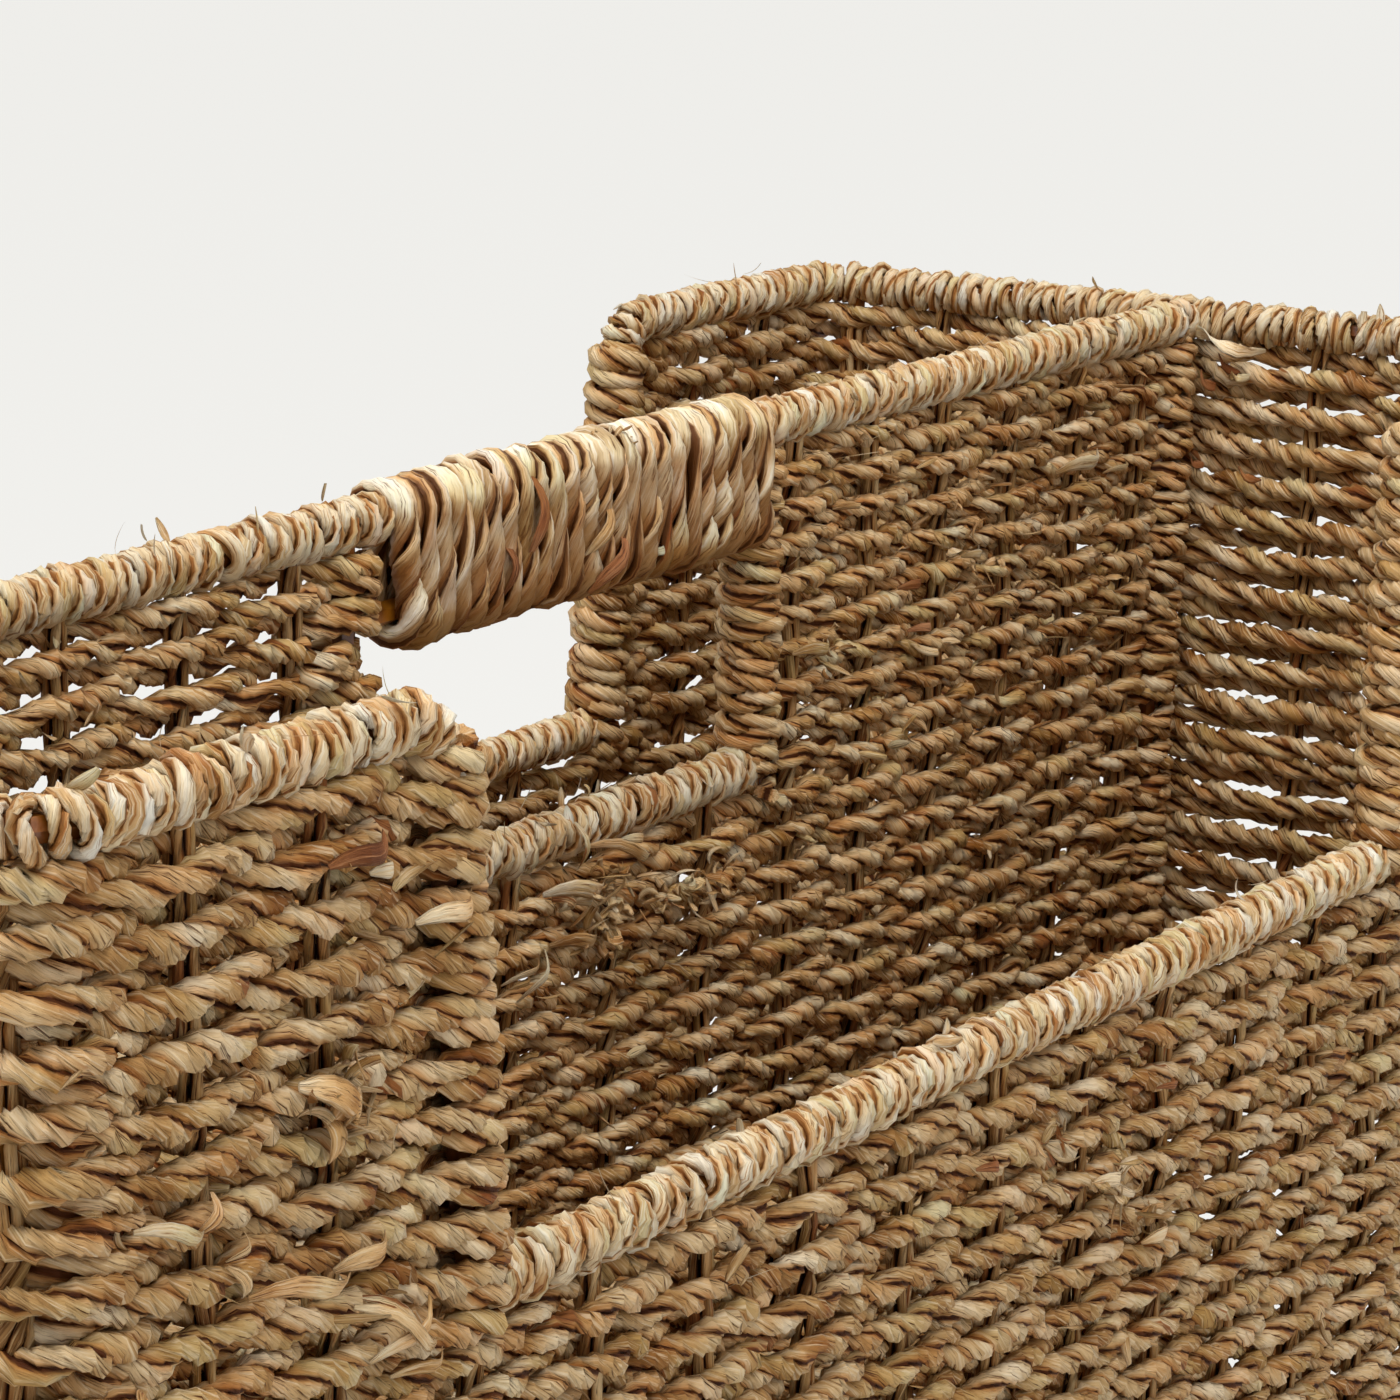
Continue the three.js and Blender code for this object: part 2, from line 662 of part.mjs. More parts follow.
const bindings = new THREE.Group();
fit(bindings, "left_end_binding", geometryOf(endBinding(-1)), bladeFinish);
fit(bindings, "right_end_binding", geometryOf(endBinding(1)), bladeFinish);
fit(bindings, "front_dip_binding", geometryOf(dipBinding(-1)), bladeFinish);
fit(bindings, "back_dip_binding", geometryOf(dipBinding(1)), bladeFinish);
fit(bindings, "divider_left_binding", geometryOf(dividerRimBinding(-1)), bladeFinish);
fit(bindings, "divider_right_binding", geometryOf(dividerRimBinding(1)), bladeFinish);
fit(bindings, "sill_binding", geometryOf(sillBinding), bladeFinish);
fit(bindings, "grip_winding", gripWinding, gripFinish);
basket.add(bindings);

export default basket;
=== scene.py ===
# A magazine basket of twisted seagrass rope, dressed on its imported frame.
# Metres, +Z up. The origin is on the floor under the middle of the basket, and +X runs along its length.
import itertools
import math

import bpy
import numpy as np
from mathutils import Matrix, Vector


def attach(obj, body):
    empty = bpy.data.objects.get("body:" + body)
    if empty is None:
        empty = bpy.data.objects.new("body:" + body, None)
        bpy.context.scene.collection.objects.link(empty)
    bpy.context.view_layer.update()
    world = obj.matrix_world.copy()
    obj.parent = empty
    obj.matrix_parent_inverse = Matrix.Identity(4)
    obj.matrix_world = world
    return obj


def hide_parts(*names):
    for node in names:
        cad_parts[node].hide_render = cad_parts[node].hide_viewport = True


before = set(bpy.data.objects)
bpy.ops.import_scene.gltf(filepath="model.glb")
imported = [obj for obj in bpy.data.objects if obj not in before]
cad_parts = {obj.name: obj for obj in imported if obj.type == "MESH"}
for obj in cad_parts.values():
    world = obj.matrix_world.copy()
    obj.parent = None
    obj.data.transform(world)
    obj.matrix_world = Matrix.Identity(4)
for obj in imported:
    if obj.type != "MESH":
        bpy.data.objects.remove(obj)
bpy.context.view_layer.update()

MM = 0.001

# The view
# A close look from beyond the left end, a little above the rims, as the photograph has it.
# The lens is long, so the basket's lines stay nearly parallel.
PICTURE_PIXELS = 1400
LENS_PIXELS = 4800
SENSOR_WIDTH = 36
FAR_LIMIT = 100
EYE = Vector((-660.5, -456.9, 420.5)) * MM
LOOK_ROUND = math.radians(32.788)
LOOK_DOWN = math.radians(12.818)
HEAD_TILT = math.radians(0.862)

scene = bpy.context.scene
scene.view_settings.view_transform = "Standard"
camera = bpy.data.objects.new("camera", bpy.data.cameras.new("camera"))
camera.data.sensor_width = SENSOR_WIDTH
camera.data.lens = SENSOR_WIDTH * LENS_PIXELS / PICTURE_PIXELS
camera.data.clip_end = FAR_LIMIT
turned = Matrix.Rotation(LOOK_ROUND - math.pi / 2, 4, "Z")
lowered = Matrix.Rotation(math.pi / 2 - LOOK_DOWN, 4, "X")
tilted = Matrix.Rotation(HEAD_TILT, 4, "Z")
camera.matrix_world = Matrix.Translation(EYE) @ turned @ lowered @ tilted
scene.collection.objects.link(camera)
scene.camera = camera


# The studio
# A pale floor without an edge under an even pale sky, and one large soft lamp overhead.
# What the camera sees of the floor and the sky is painted, so that it stays pale at this light.
class Value:
    """A socket of a node tree. Sums written with it add the tree's Math nodes."""

    def __init__(self, nodes, socket):
        self.nodes = nodes
        self.socket = socket

    def worked(self, operation, *values):
        vectors = any(isinstance(v, Value) and v.socket.type == "VECTOR" for v in values)
        kind = "ShaderNodeVectorMath" if vectors else "ShaderNodeMath"
        return self.nodes.add(kind, {"operation": operation}, dict(enumerate(values)))[0]

    def __add__(self, other):
        return self.worked("ADD", self, other)

    def __sub__(self, other):
        return self.worked("SUBTRACT", self, other)

    def __rsub__(self, other):
        return self.worked("SUBTRACT", other, self)

    def __mul__(self, other):
        if self.socket.type == "VECTOR":
            inputs = {"Vector": self, "Scale": other}
            return self.nodes.add("ShaderNodeVectorMath", {"operation": "SCALE"}, inputs)[0]
        return self.worked("MULTIPLY", self, other)

    def __truediv__(self, other):
        return self.worked("DIVIDE", self, other)

    __radd__ = __add__
    __rmul__ = __mul__

    def stretched(self, other):
        """A vector with each of its parts times the other's."""
        return self.worked("MULTIPLY", self, other)

    def cross(self, other):
        return self.worked("CROSS_PRODUCT", self, other)

    def cos(self):
        return self.worked("COSINE", self)

    def sin(self):
        return self.worked("SINE", self)

    def most(self, other):
        return self.worked("MAXIMUM", self, other)


def socket_of(sockets, key):
    """The socket at a place, or the one in use with this name."""
    if isinstance(key, int):
        return sockets[key]
    return next(s for s in sockets if s.enabled and s.name == key)


class Outputs:
    """The outputs of one node, by name or place, as values."""

    def __init__(self, nodes, node):
        self.nodes = nodes
        self.node = node

    def __getitem__(self, key):
        return Value(self.nodes, socket_of(self.node.outputs, key))


class Nodes:
    """Adds nodes to one tree: the settings are set first, then the values or links of the sockets."""

    def __init__(self, tree):
        self.tree = tree

    def add(self, kind, settings=None, inputs=None):
        node = self.tree.nodes.new(kind)
        for name, setting in (settings or {}).items():
            if name == "stops":
                self.set_stops(node.color_ramp.elements, setting)
            else:
                setattr(node, name, setting)
        for key, value in (inputs or {}).items():
            socket = socket_of(node.inputs, key)
            if isinstance(value, Value):
                self.tree.links.new(value.socket, socket)
            else:
                socket.default_value = value
        return Outputs(self, node)

    def set_stops(self, elements, stops):
        while len(elements) < len(stops):
            elements.new(1)
        for element, (place, colour) in zip(elements, stops):
            element.position = place
            element.color = colour


def cleared(owner):
    """The node tree of a material or a world, emptied."""
    owner.use_nodes = True
    owner.node_tree.nodes.clear()
    return Nodes(owner.node_tree)


SCREEN_GAMMA = 2.2


def shade(red, green, blue):
    """A colour as a screen shows it, from 0 to 255, as light."""
    parts = (np.array((red, green, blue)) / 255) ** SCREEN_GAMMA
    return (*parts.tolist(), 1)


def seen_directly(nodes):
    """One for what the camera, a gloss or a clear piece sees, and none for light falling on the basket."""
    ray = nodes.add("ShaderNodeLightPath")
    return ray["Is Camera Ray"].most(ray["Is Glossy Ray"]).most(ray["Is Transmission Ray"])


BACKDROP = shade(245, 244, 240)
SKY_COLOUR = shade(250, 250, 252)
SKY_LIGHT = 0.5
FLOOR_WHITE = 0.8
FLOOR_SHADE_SHARE = 0.12
LAMP_SIZE = 1.3
LAMP_POWER = 21.5
LAMP_PLACE = Vector((-0.35, -0.25, 1.45))
FLOOR_SIZE = 60

world = bpy.data.worlds.new("studio")
scene.world = world
sky = cleared(world)
shining = sky.add("ShaderNodeBackground", None, {"Color": SKY_COLOUR, "Strength": SKY_LIGHT})
shown = sky.add("ShaderNodeBackground", None, {"Color": BACKDROP, "Strength": 1})
sky_look = sky.add("ShaderNodeMixShader", None, {0: seen_directly(sky), 1: shining[0], 2: shown[0]})
sky.add("ShaderNodeOutputWorld", None, {"Surface": sky_look[0]})

floor_finish = bpy.data.materials.new("pale_floor")
ground = cleared(floor_finish)
matt = ground.add("ShaderNodeBsdfDiffuse", None, {"Color": (FLOOR_WHITE, FLOOR_WHITE, FLOOR_WHITE, 1)})
shaded_colour = [part * FLOOR_SHADE_SHARE for part in BACKDROP[:3]]
glow_colour = [part * (1 - FLOOR_SHADE_SHARE) for part in BACKDROP[:3]]
shaded = ground.add("ShaderNodeBsdfDiffuse", None, {"Color": (*shaded_colour, 1)})
glow = ground.add("ShaderNodeEmission", None, {"Color": (*glow_colour, 1), "Strength": 1})
painted = ground.add("ShaderNodeAddShader", None, {0: shaded[0], 1: glow[0]})
floor_look = ground.add("ShaderNodeMixShader", None, {0: seen_directly(ground), 1: matt[0], 2: painted[0]})
ground.add("ShaderNodeOutputMaterial", None, {"Surface": floor_look[0]})

half_floor = FLOOR_SIZE / 2
floor_mesh = bpy.data.meshes.new("floor")
floor_corners = [(x * half_floor, y * half_floor, 0) for x, y in ((-1, -1), (1, -1), (1, 1), (-1, 1))]
floor_mesh.from_pydata(floor_corners, [], [(0, 1, 2, 3)])
floor_mesh.materials.append(floor_finish)
floor = bpy.data.objects.new("floor", floor_mesh)
scene.collection.objects.link(floor)

lamp_data = bpy.data.lights.new("overhead_lamp", "AREA")
lamp_data.size = LAMP_SIZE
lamp_data.energy = LAMP_POWER
lamp = bpy.data.objects.new("overhead_lamp", lamp_data)
lamp_aim = (-LAMP_PLACE).to_track_quat("-Z", "Y").to_matrix().to_4x4()
lamp.matrix_world = Matrix.Translation(LAMP_PLACE) @ lamp_aim
scene.collection.objects.link(lamp)


# The wire frame
# Bent steel wire with a clear amber lacquer: the rim, the base, four uprights, the divider's arch,
# the hand opening and the lower grip wire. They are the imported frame's own pieces with a new finish.
RIM_LENGTH = 475 * MM
FOOT_LENGTH = 443 * MM
BASKET_WIDTH = 180 * MM
RIM_HEIGHT = 276.5 * MM
DIP_DEPTH = 84 * MM
DIP_TOP_LENGTH = 312 * MM
DIP_BOTTOM_LENGTH = 296 * MM
OPENING_LENGTH = 122.5 * MM
OPENING_MIDDLE = 4 * MM
OPENING_DEPTH = 63.5 * MM
GRIP_WIRE_DROP = 16 * MM
DIVIDER_INSET = 9.5 * MM
WIRE_BEND = 8 * MM
LOW_RIM_HEIGHT = RIM_HEIGHT - DIP_DEPTH
SILL_HEIGHT = RIM_HEIGHT - OPENING_DEPTH
HALF_WIDTH = BASKET_WIDTH / 2
OPENING_ENDS = (OPENING_MIDDLE - OPENING_LENGTH / 2, OPENING_MIDDLE + OPENING_LENGTH / 2)


def half_length_at(z):
    """Half the basket's length at a height: the end walls lean in towards the floor."""
    return (FOOT_LENGTH + (RIM_LENGTH - FOOT_LENGTH) * z / RIM_HEIGHT) / 2


def half_dip_at(z):
    """Half the dip's length at a height: its sides lean as well."""
    share = (z - LOW_RIM_HEIGHT) / DIP_DEPTH
    return (DIP_BOTTOM_LENGTH + (DIP_TOP_LENGTH - DIP_BOTTOM_LENGTH) * share) / 2


def finish_with(nodes, look):
    """Ends a finish with a surface that has this look."""
    surface = nodes.add("ShaderNodeBsdfPrincipled", None, look)
    nodes.add("ShaderNodeOutputMaterial", None, {"Surface": surface[0]})


def lacquered_wire():
    """Amber lacquer, thicker and darker in patches, with fine specks under it."""
    material = bpy.data.materials.new("amber_lacquer")
    nodes = cleared(material)
    place = nodes.add("ShaderNodeTexCoord")["Object"]
    patches = nodes.add("ShaderNodeTexNoise", None, {"Vector": place, "Scale": 140, "Detail": 3})["Fac"]
    specks = nodes.add("ShaderNodeTexNoise", None, {"Vector": place, "Scale": 1800, "Detail": 2})["Fac"]
    ambers = [(0.3, shade(70, 34, 8)), (0.5, shade(122, 68, 16)), (0.7, shade(176, 110, 30))]
    colour = nodes.add("ShaderNodeValToRGB", {"stops": ambers}, {"Fac": patches})["Color"]
    relief = {"Strength": 0.4, "Distance": 0.1 * MM, "Height": specks + patches}
    look = {
        "Base Color": colour,
        "Metallic": 0.35,
        "Roughness": 0.22 + 0.3 * specks,
        "Normal": nodes.add("ShaderNodeBump", None, relief)["Normal"],
        "Coat Weight": 0.6,
        "Coat Roughness": 0.12,
    }
    finish_with(nodes, look)
    return material


wire_finish = lacquered_wire()
wire_names = ["rim_wire", "base_wire", "divider_arch_wire", "opening_wire", "grip_wire"]
wire_names += [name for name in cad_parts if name.startswith("corner_upright")]
for name in wire_names:
    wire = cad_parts[name]
    wire.data.materials.clear()
    wire.data.materials.append(wire_finish)
    for face in wire.data.polygons:
        face.material_index = 0


# The cord stakes
# Bunches of four thin strands of leaf, set upright through the weave. A wall stake runs down one wall,
# under the base and up the other; the end and divider stakes are hairpins. On the basket they loop over
# the rims; here they end at the rims, under the bindings.
# The corner uprights are sheathed in the same strands.
STRAND_ROLL = 95  # how far a strand turns in itself, for each metre
STAKE_LEVEL = 5.2 * MM
STAKE_BEND = 4.3 * MM
STAKE_STEP = 5 * MM
DIP_STAKES = 9
STAKE_SHARES = (1 / 3, 2 / 3)
DIVIDER_FOOT = 13.7 * MM
SIDE_STAKES = 6
OPENING_STAKES = 4
ARC_POINTS = 9
FEWEST_POINTS = 3
GIRTHS = (0.93, 1.07)
FIRST_SEED = 56
SEED_STEP = 2

draw = np.random.default_rng(seed=7)
seeds = itertools.count(FIRST_SEED, SEED_STEP)


def unit(vector):
    return vector / np.linalg.norm(vector)


def lengths_along(points):
    """How far along a path each of its points is."""
    return np.concatenate([[0], np.cumsum(np.linalg.norm(np.diff(points, axis=0), axis=1))])


def spaced(points, step):
    """The same path, with its points evenly spaced."""
    points = np.asarray(points, float)
    lengths = lengths_along(points)
    along = np.linspace(0, lengths[-1], max(FEWEST_POINTS, round(lengths[-1] / step) + 1))
    return np.column_stack([np.interp(along, lengths, column) for column in points.T])


def bent(corners, radius, step):
    """Straight runs between corners, with an arc at each corner, as evenly spaced points."""
    corners = np.asarray(corners, float)
    points = [corners[0]]
    for before, corner, after in zip(corners, corners[1:], corners[2:]):
        into = unit(corner - before)
        out = unit(after - corner)
        turn = math.acos(into @ out)
        inward = unit(out - into * (into @ out))
        start = corner - into * radius * math.tan(turn / 2)
        for angle in np.linspace(0, turn, ARC_POINTS):
            points.append(start + inward * radius * (1 - math.cos(angle)) + into * radius * math.sin(angle))
    points.append(corners[-1])
    return spaced(points, step)


def path_object(paths, girths=None):
    """A mesh of open lines. Each line has its own random start in the lay, and its own girth."""
    if girths is None:
        girths = draw.uniform(*GIRTHS, len(paths))
    vertices = np.concatenate(paths)
    edges = []
    start = 0
    for path in paths:
        edges += [(k, k + 1) for k in range(start, start + len(path) - 1)]
        start += len(path)
    mesh = bpy.data.meshes.new("paths")
    mesh.from_pydata(vertices.tolist(), edges, [])
    counts = [len(path) for path in paths]
    for name, values in (("phase", draw.random(len(paths))), ("girth", girths)):
        attribute = mesh.attributes.new(name, "FLOAT", "POINT")
        attribute.data.foreach_set("value", np.repeat(values, counts).astype(np.float32))
    guide = bpy.data.objects.new("paths", mesh)
    scene.collection.objects.link(guide)
    return guide


def new_tree(name, counts, measures):
    """A geometry tree with named inputs: paths, sizes, a seed and a finish. Its lines are the paths."""
    tree = bpy.data.node_groups.new(name, "GeometryNodeTree")
    kinds = {"Geometry": ["Paths"], "Int": [*counts, "Seed"], "Float": measures, "Material": ["Finish"]}
    for kind, names in kinds.items():
        for socket_name in names:
            tree.interface.new_socket(socket_name, in_out="INPUT", socket_type="NodeSocket" + kind)
    tree.interface.new_socket("Mesh", in_out="OUTPUT", socket_type="NodeSocketGeometry")
    nodes = Nodes(tree)
    given = nodes.add("NodeGroupInput")
    lines = nodes.add("GeometryNodeMeshToCurve", None, {"Mesh": given["Paths"]})["Curve"]
    return tree, nodes, given, lines


def end_tree(nodes, made, given):
    """Every tree ends alike: smooth, realized and in its finish."""
    smooth = nodes.add("GeometryNodeSetShadeSmooth", None, {"Geometry": made})["Geometry"]
    real = nodes.add("GeometryNodeRealizeInstances", None, {"Geometry": smooth})["Geometry"]
    inputs = {"Geometry": real, "Material": given["Finish"]}
    finished = nodes.add("GeometryNodeSetMaterial", None, inputs)["Geometry"]
    nodes.add("NodeGroupOutput", None, {"Mesh": finished})


def stored(nodes, made, name, value, kind="FLOAT"):
    settings = {"data_type": kind, "domain": "POINT"}
    inputs = {"Geometry": made, "Name": name, "Value": value}
    return nodes.add("GeometryNodeStoreNamedAttribute", settings, inputs)["Geometry"]


def attribute(nodes, name, kind="FLOAT"):
    return nodes.add("GeometryNodeInputNamedAttribute", {"data_type": kind}, {"Name": name})["Attribute"]


def unevenness(nodes, place, seed):
    """A slow random value along a rope, around nothing."""
    inputs = {"W": place + seed, "Scale": 1, "Detail": 1}
    return nodes.add("ShaderNodeTexNoise", {"noise_dimensions": "1D"}, inputs)["Fac"] - 0.5


def swept(nodes, given, lines, normal, tilt, section, girth):
    """The skin of these lines: a ring, moved to its section, turned from the normal and swept along."""
    facing = {"Curve": lines, "Normal": normal}
    lines = nodes.add("GeometryNodeSetCurveNormal", {"mode": "FREE"}, facing)["Curve"]
    lines = nodes.add("GeometryNodeSetCurveTilt", None, {"Curve": lines, "Tilt": tilt})["Curve"]
    inputs = {"Resolution": given["Sides"], "Radius": 1}
    ring = nodes.add("GeometryNodeCurvePrimitiveCircle", None, inputs)["Curve"]
    place = nodes.add("GeometryNodeInputPosition")["Position"]
    ring = stored(nodes, ring, "ring", place, "FLOAT_VECTOR")
    ring = nodes.add("GeometryNodeSetPosition", None, {"Geometry": ring, "Position": section})["Geometry"]
    inputs = {"Curve": lines, "Profile Curve": ring, "Scale": girth, "Fill Caps": True}
    return nodes.add("GeometryNodeCurveToMesh", None, inputs)["Mesh"]


LAY_WAVES = 22  # for each metre of rope, as the next three
LOOSE_WAVES = 75
SWAY_WAVES = 30
GIRTH_WAVES = 85
LAY_SHIFT = 1.2
LOOSENESS = 0.5
ROLL_SWAY = 2.4
FULLNESS = 0.75
LOBE_DEPTH = 0.05
LOBE_TURN = 2.4
FOLD_DEPTH = 0.03
FOLD_TURN = 4.1


def rope_tree():
    """Strands laid right-handed round each path. A strand is a bundle of leaves, so its section is lobed.
    Each random value takes another multiple of the strand's number, so that no two wander alike."""
    counts = ("Strands", "Sides")
    measures = ("Strand Radius", "Strand Width", "Roll", "Lay Radius", "Lay Length", "Unevenness")
    tree, nodes, given, lines = new_tree("laid_rope", counts, measures)
    uneven, seed = given["Unevenness"], given["Seed"]
    inputs = {"Geometry": lines, "Amount": given["Strands"]}
    copies = nodes.add("GeometryNodeDuplicateElements", {"domain": "SPLINE"}, inputs)
    number = copies["Duplicate Index"]
    length = nodes.add("GeometryNodeSplineParameter")["Length"]
    phase = attribute(nodes, "phase")
    strands = stored(nodes, copies["Geometry"], "along", length)
    strands = stored(nodes, strands, "which", number + phase * 50 + seed)
    along, which = attribute(nodes, "along"), attribute(nodes, "which")
    shift = unevenness(nodes, length * LAY_WAVES, phase * 31 + seed) * uneven * LAY_SHIFT
    angle = (length / given["Lay Length"] + phase + shift + number / given["Strands"]) * (2 * math.pi)
    normal = nodes.add("GeometryNodeInputNormal")["Normal"]
    tangent = nodes.add("GeometryNodeInputTangent")["Tangent"]
    outward = normal * angle.cos() + tangent.cross(normal) * angle.sin()
    strands = stored(nodes, strands, "outward", outward, "FLOAT_VECTOR")
    outward = attribute(nodes, "outward", "FLOAT_VECTOR")
    loose = unevenness(nodes, length * LOOSE_WAVES, which * 17) * uneven
    moved = {"Geometry": strands, "Offset": outward * (given["Lay Radius"] * (1 + LOOSENESS * loose))}
    strands = nodes.add("GeometryNodeSetPosition", None, moved)["Geometry"]
    place = nodes.add("GeometryNodeInputPosition")["Position"]
    strands = stored(nodes, strands, "centre", place, "FLOAT_VECTOR")
    sway = unevenness(nodes, along * SWAY_WAVES, which * 9)
    roll = along * given["Roll"] + sway * ROLL_SWAY

    index = nodes.add("GeometryNodeInputIndex")["Index"]
    lobes = 1 + LOBE_DEPTH * (index * LOBE_TURN).sin() + FOLD_DEPTH * (index * FOLD_TURN).cos()
    wide = {"X": 1.0, "Y": given["Strand Width"], "Z": 1.0}
    section = (place * lobes).stretched(nodes.add("ShaderNodeCombineXYZ", None, wide)["Vector"])
    full = unevenness(nodes, along * GIRTH_WAVES, which * 7) * uneven
    girth = given["Strand Radius"] * attribute(nodes, "girth") * (1 + FULLNESS * full)
    made = swept(nodes, given, strands, outward, roll, section, girth)
    # How far each point faces out from the rope's middle. The finishes paint shade with it, on the strands'
    # turned-in sides and in the joins between them.
    spoke = place - attribute(nodes, "centre", "FLOAT_VECTOR")
    facing = {0: spoke.worked("NORMALIZE", spoke), 1: outward}
    facing = nodes.add("ShaderNodeVectorMath", {"operation": "DOT_PRODUCT"}, facing)["Value"]
    end_tree(nodes, stored(nodes, made, "facing", facing), given)
    return tree


def grown(name, tree, paths, sizes, finish, girths=None):
    """Runs a tree along the paths, and returns the plain mesh that it makes as a piece."""
    guide = path_object(paths, girths)
    modifier = guide.modifiers.new("grown", "NODES")
    modifier.node_group = tree
    sockets = {item.name: item.identifier for item in tree.interface.items_tree if item.in_out == "INPUT"}
    for size_name, size in {**sizes, "Seed": next(seeds), "Finish": finish}.items():
        modifier[sockets[size_name]] = size
    depsgraph = bpy.context.evaluated_depsgraph_get()
    evaluated = guide.evaluated_get(depsgraph)
    mesh = bpy.data.meshes.new_from_object(evaluated, preserve_all_data_layers=True, depsgraph=depsgraph)
    mesh.name = name
    piece = bpy.data.objects.new(name, mesh)
    scene.collection.objects.link(piece)
    bpy.data.objects.remove(guide)
    for spare in ("outward", "phase", "girth", "centre"):
        if spare in mesh.attributes:
            mesh.attributes.remove(mesh.attributes[spare])
    return piece


PINK_LEAF = shade(255, 238, 222)
GREEN_LEAF = shade(244, 246, 226)
# Painted shade for the sides of leaf that doesn't face up.
SIDE_SHADE = shade(182, 146, 108)
# Painted shade for the side of a strand that turns in towards the rope's middle.
TURNED_IN_SHADE = shade(236, 204, 168)
DARK_RUST = shade(104, 54, 20)
PALE_RUST = shade(196, 128, 72)
PINK_SPAN = (0.5, 0.66)  # where a mask starts, and where it is full
GREEN_SPAN = (0.52, 0.68)
FRAYED_SPAN = (0.54, 0.64)
# Where the painted shade on the sides starts, and where it is full.
SIDE_SHADE_SPAN = (0.45, 0.0)
RUST_SPAN = (0.66, 0.69)
CREASE_SPAN = (0.45, 0.36)
# Where the painted shade on a strand's turned-in side starts, and where it is full.
TURNED_IN_SHADE_SPAN = (0.34, 0.04)
# Where the painted shade in the join between strands starts, and where it is full.
SEAM_SHADE_SPAN = (0.06, -0.08)


def seagrass(name, stops, crease_and_seam_shade, rust_share=0, roughness=0.55, seam_shade_start=0.42, painted_side_shade=False):
    """Dried leaf: fibre streaks along the strand, a slow change of colour from leaf to leaf, rust in places.
    The stops go from the darkest leaf to the palest. The rust share is how much of a rope is rusty.
    The dark colour given for the fibre's creases is also painted shade in the join between the strands.
    Painted shade also darkens the side of each strand that turns in towards the rope's middle. The
    start given for the painted shade says how far round a strand both begin. When the sides are to get
    painted shade, leaf that doesn't face up is darkened, so that its top looks lit."""
    material = bpy.data.materials.new(name)
    nodes = cleared(material)
    stops = [(place, shade(*colour)) for place, colour in stops.items()]
    palest = stops[-1][1]
    crease_and_seam_shade = shade(*crease_and_seam_shade)
    ring = nodes.add("ShaderNodeAttribute", {"attribute_name": "ring"})["Vector"]
    along = nodes.add("ShaderNodeAttribute", {"attribute_name": "along"})["Fac"]
    which = nodes.add("ShaderNodeAttribute", {"attribute_name": "which"})["Fac"]
    apart = {"X": which * 7.3, "Y": which * 3.1, "Z": along * 60}
    fibre = ring * 1.4 + nodes.add("ShaderNodeCombineXYZ", None, apart)["Vector"]

    def noise(scale, detail):
        inputs = {"Vector": fibre, "Scale": scale, "Detail": detail, "Roughness": 0.6}
        return nodes.add("ShaderNodeTexNoise", None, inputs)["Fac"]

    def slow(per_metre, offset):
        inputs = {"W": along * per_metre + which * offset, "Scale": 1, "Detail": 2}
        return nodes.add("ShaderNodeTexNoise", {"noise_dimensions": "1D"}, inputs)["Fac"]

    def mix(factor, first, second, blend="MIX"):
        inputs = {"Factor": factor, "A": first, "B": second}
        return nodes.add("ShaderNodeMix", {"data_type": "RGBA", "blend_type": blend}, inputs)["Result"]

    def mask(value, span, shift=0):
        edges = sorted([(span[0] + shift, (0, 0, 0, 1)), (span[1] + shift, (1, 1, 1, 1))])
        return nodes.add("ShaderNodeValToRGB", {"stops": edges}, {"Fac": value})["Color"]

    streaks = noise(2.6, 4)
    hairs = noise(9, 2)
    blade = noise(0.9, 1)
    mellow = 0.8 * slow(60, 5.7) + 0.25 * blade + 0.25 * streaks - 0.15
    leaf = nodes.add("ShaderNodeValToRGB", {"stops": stops}, {"Fac": mellow})["Color"]
    leaf = mix(mask(slow(47, 13.1), PINK_SPAN), leaf, PINK_LEAF, "MULTIPLY")
    leaf = mix(mask(slow(39, 31.7), GREEN_SPAN), leaf, GREEN_LEAF, "MULTIPLY")
    leaf = mix(0.45 * mask(streaks, FRAYED_SPAN), leaf, palest)
    # Painted shade: leaf that doesn't face up is darkened, so that its top looks lit.
    if painted_side_shade:
        normal = nodes.add("ShaderNodeTexCoord")["Normal"]
        upward = nodes.add("ShaderNodeSeparateXYZ", None, {0: normal})["Z"]
        leaf = mix(mask(upward + 0.3 * streaks, SIDE_SHADE_SPAN), leaf, SIDE_SHADE, "MULTIPLY")
    rusty = mask(0.7 * slow(42, 23.9) + 0.3 * blade, RUST_SPAN, -rust_share)
    dyed = mix(rusty, leaf, mix(streaks, DARK_RUST, PALE_RUST))
    creased = mix(mask(0.7 * streaks + 0.3 * hairs, CREASE_SPAN), dyed, crease_and_seam_shade)
    facing = nodes.add("ShaderNodeAttribute", {"attribute_name": "facing"})["Fac"]
    edge = 0.5 * facing + 0.2 * streaks + 0.4
    # Painted shade: the side of each strand that turns in towards the rope's middle is tinted darker.
    turned_in_shaded = mix(mask(edge, TURNED_IN_SHADE_SPAN, seam_shade_start), creased, TURNED_IN_SHADE, "MULTIPLY")
    # Painted shade: where a strand faces the other one, it takes the dark colour given for creases.
    seam_shaded = mix(mask(edge, SEAM_SHADE_SPAN, seam_shade_start), turned_in_shaded, crease_and_seam_shade)
    relief = {"Strength": 0.9, "Distance": 0.6 * MM, "Height": streaks + 0.35 * hairs + 0.5 * blade}
    look = {
        "Base Color": seam_shaded,
        "Roughness": roughness + 0.25 * (streaks - 0.5),
        "Normal": nodes.add("ShaderNodeBump", None, relief)["Normal"],
        "Specular IOR Level": 0.2,
    }
    finish_with(nodes, look)
    return material


